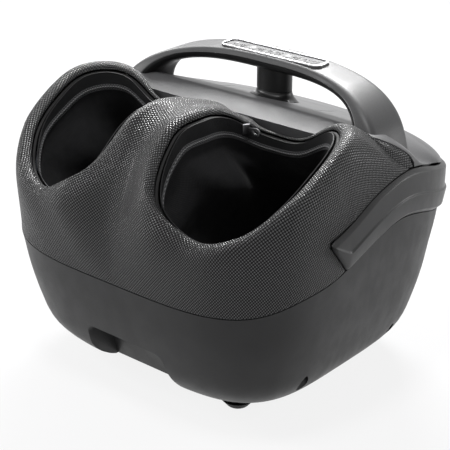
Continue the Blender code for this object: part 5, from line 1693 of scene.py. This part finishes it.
def seen_ray(tree):
    """1 where a ray comes from the camera, a shine or clear matter, 0 where it only lights."""
    seen = node(tree, "LightPath", {})
    share = seen.outputs["Is Camera Ray"]
    for kind in ("Is Glossy Ray", "Is Transmission Ray"):
        share = sums(tree, "MAXIMUM", share, seen.outputs[kind])
    return share


def mixed_with_white(tree, kind, share, shader, end):
    """White laid over a shader by a share, and linked to the output."""
    white = node(tree, kind, {"Color": (1, 1, 1, 1), "Strength": 1.0})
    both = node(tree, "MixShader", {0: share, 1: shader.outputs[0], 2: white.outputs[0]})
    tree.links.new(both.outputs[0], end.inputs["Surface"])


def stage():
    """Floor that looks almost as white as the space behind it and still takes the shadow."""
    shape = bmesh.new()
    bmesh.ops.create_grid(shape, x_segments=1, y_segments=1, size=6)
    floor = meshed("floor", shape)
    made, tree, shader = plain("floor", 0.85, 0.9)
    share = sums(tree, "MULTIPLY", seen_ray(tree), FLOOR_WHITE_SHARE)
    mixed_with_white(tree, "Emission", share, shader, tree.nodes["Material Output"])
    floor.data.materials.append(made)


def world():
    """Space that is white to look at and gives only a soft light."""
    made = bpy.data.worlds.new("studio")
    made.use_nodes = True
    tree = made.node_tree
    soft = tree.nodes["Background"]
    soft.inputs["Color"].default_value = (1, 1, 1, 1)
    soft.inputs["Strength"].default_value = WORLD_LIGHT
    mixed_with_white(tree, "Background", seen_ray(tree), soft, tree.nodes["World Output"])
    bpy.context.scene.world = made


def lamp(name, place, size, power):
    """Soft box that looks at the object."""
    light = bpy.data.lights.new(name, "AREA")
    light.shape = "RECTANGLE"
    light.size, light.size_y = size
    light.energy = power
    thing = linked(name, light)
    thing.location = place
    ahead = Vector(LAMP_TARGET) - Vector(place)
    thing.rotation_euler = ahead.to_track_quat("-Z", "Y").to_euler()


def lights():
    lamp("top_box", (-0.7, 1.0, 1.25), (0.9, 0.3), 24)
    lamp("glint_box", (-0.5, 0.9, 1.0), (0.5, 0.06), 9)
    lamp("over_box", (0.1, -0.3, 1.6), (0.25, 0.25), 9)
    lamp("key_box", (-1.5, -0.7, 0.8), (0.3, 0.9), 16)
    lamp("right_box", (0.8, 0.8, 0.4), (0.2, 0.5), 2.5)
    lamp("left_box", (-1.4, 0.9, 0.7), (0.3, 1.0), 5)


def camera():
    lens = bpy.data.cameras.new("camera")
    lens.sensor_width = SENSOR_WIDTH
    lens.lens = CAMERA_FOCUS * SENSOR_WIDTH / PHOTO_WIDTH
    lens.clip_start = 0.05
    thing = linked("camera", lens)
    turn, rise = radians(CAMERA_TURN), radians(CAMERA_RISE)
    ahead = Vector((-sin(turn) * cos(rise), cos(turn) * cos(rise), -sin(rise)))
    thing.location = Vector(CAMERA_TARGET) - ahead * CAMERA_REACH
    thing.rotation_euler = ahead.to_track_quat("-Z", "Y").to_euler()
    bpy.context.scene.camera = thing


camera()
stage()
world()
lights()
bpy.context.scene.view_settings.view_transform = "Standard"
tub()
room = belt_room(JOINT_SHOW)
cover(room)
bpy.data.objects.remove(room)
deck()
belt()
handle()
panel()
post()
pockets()
signs()
dressed_nodes()
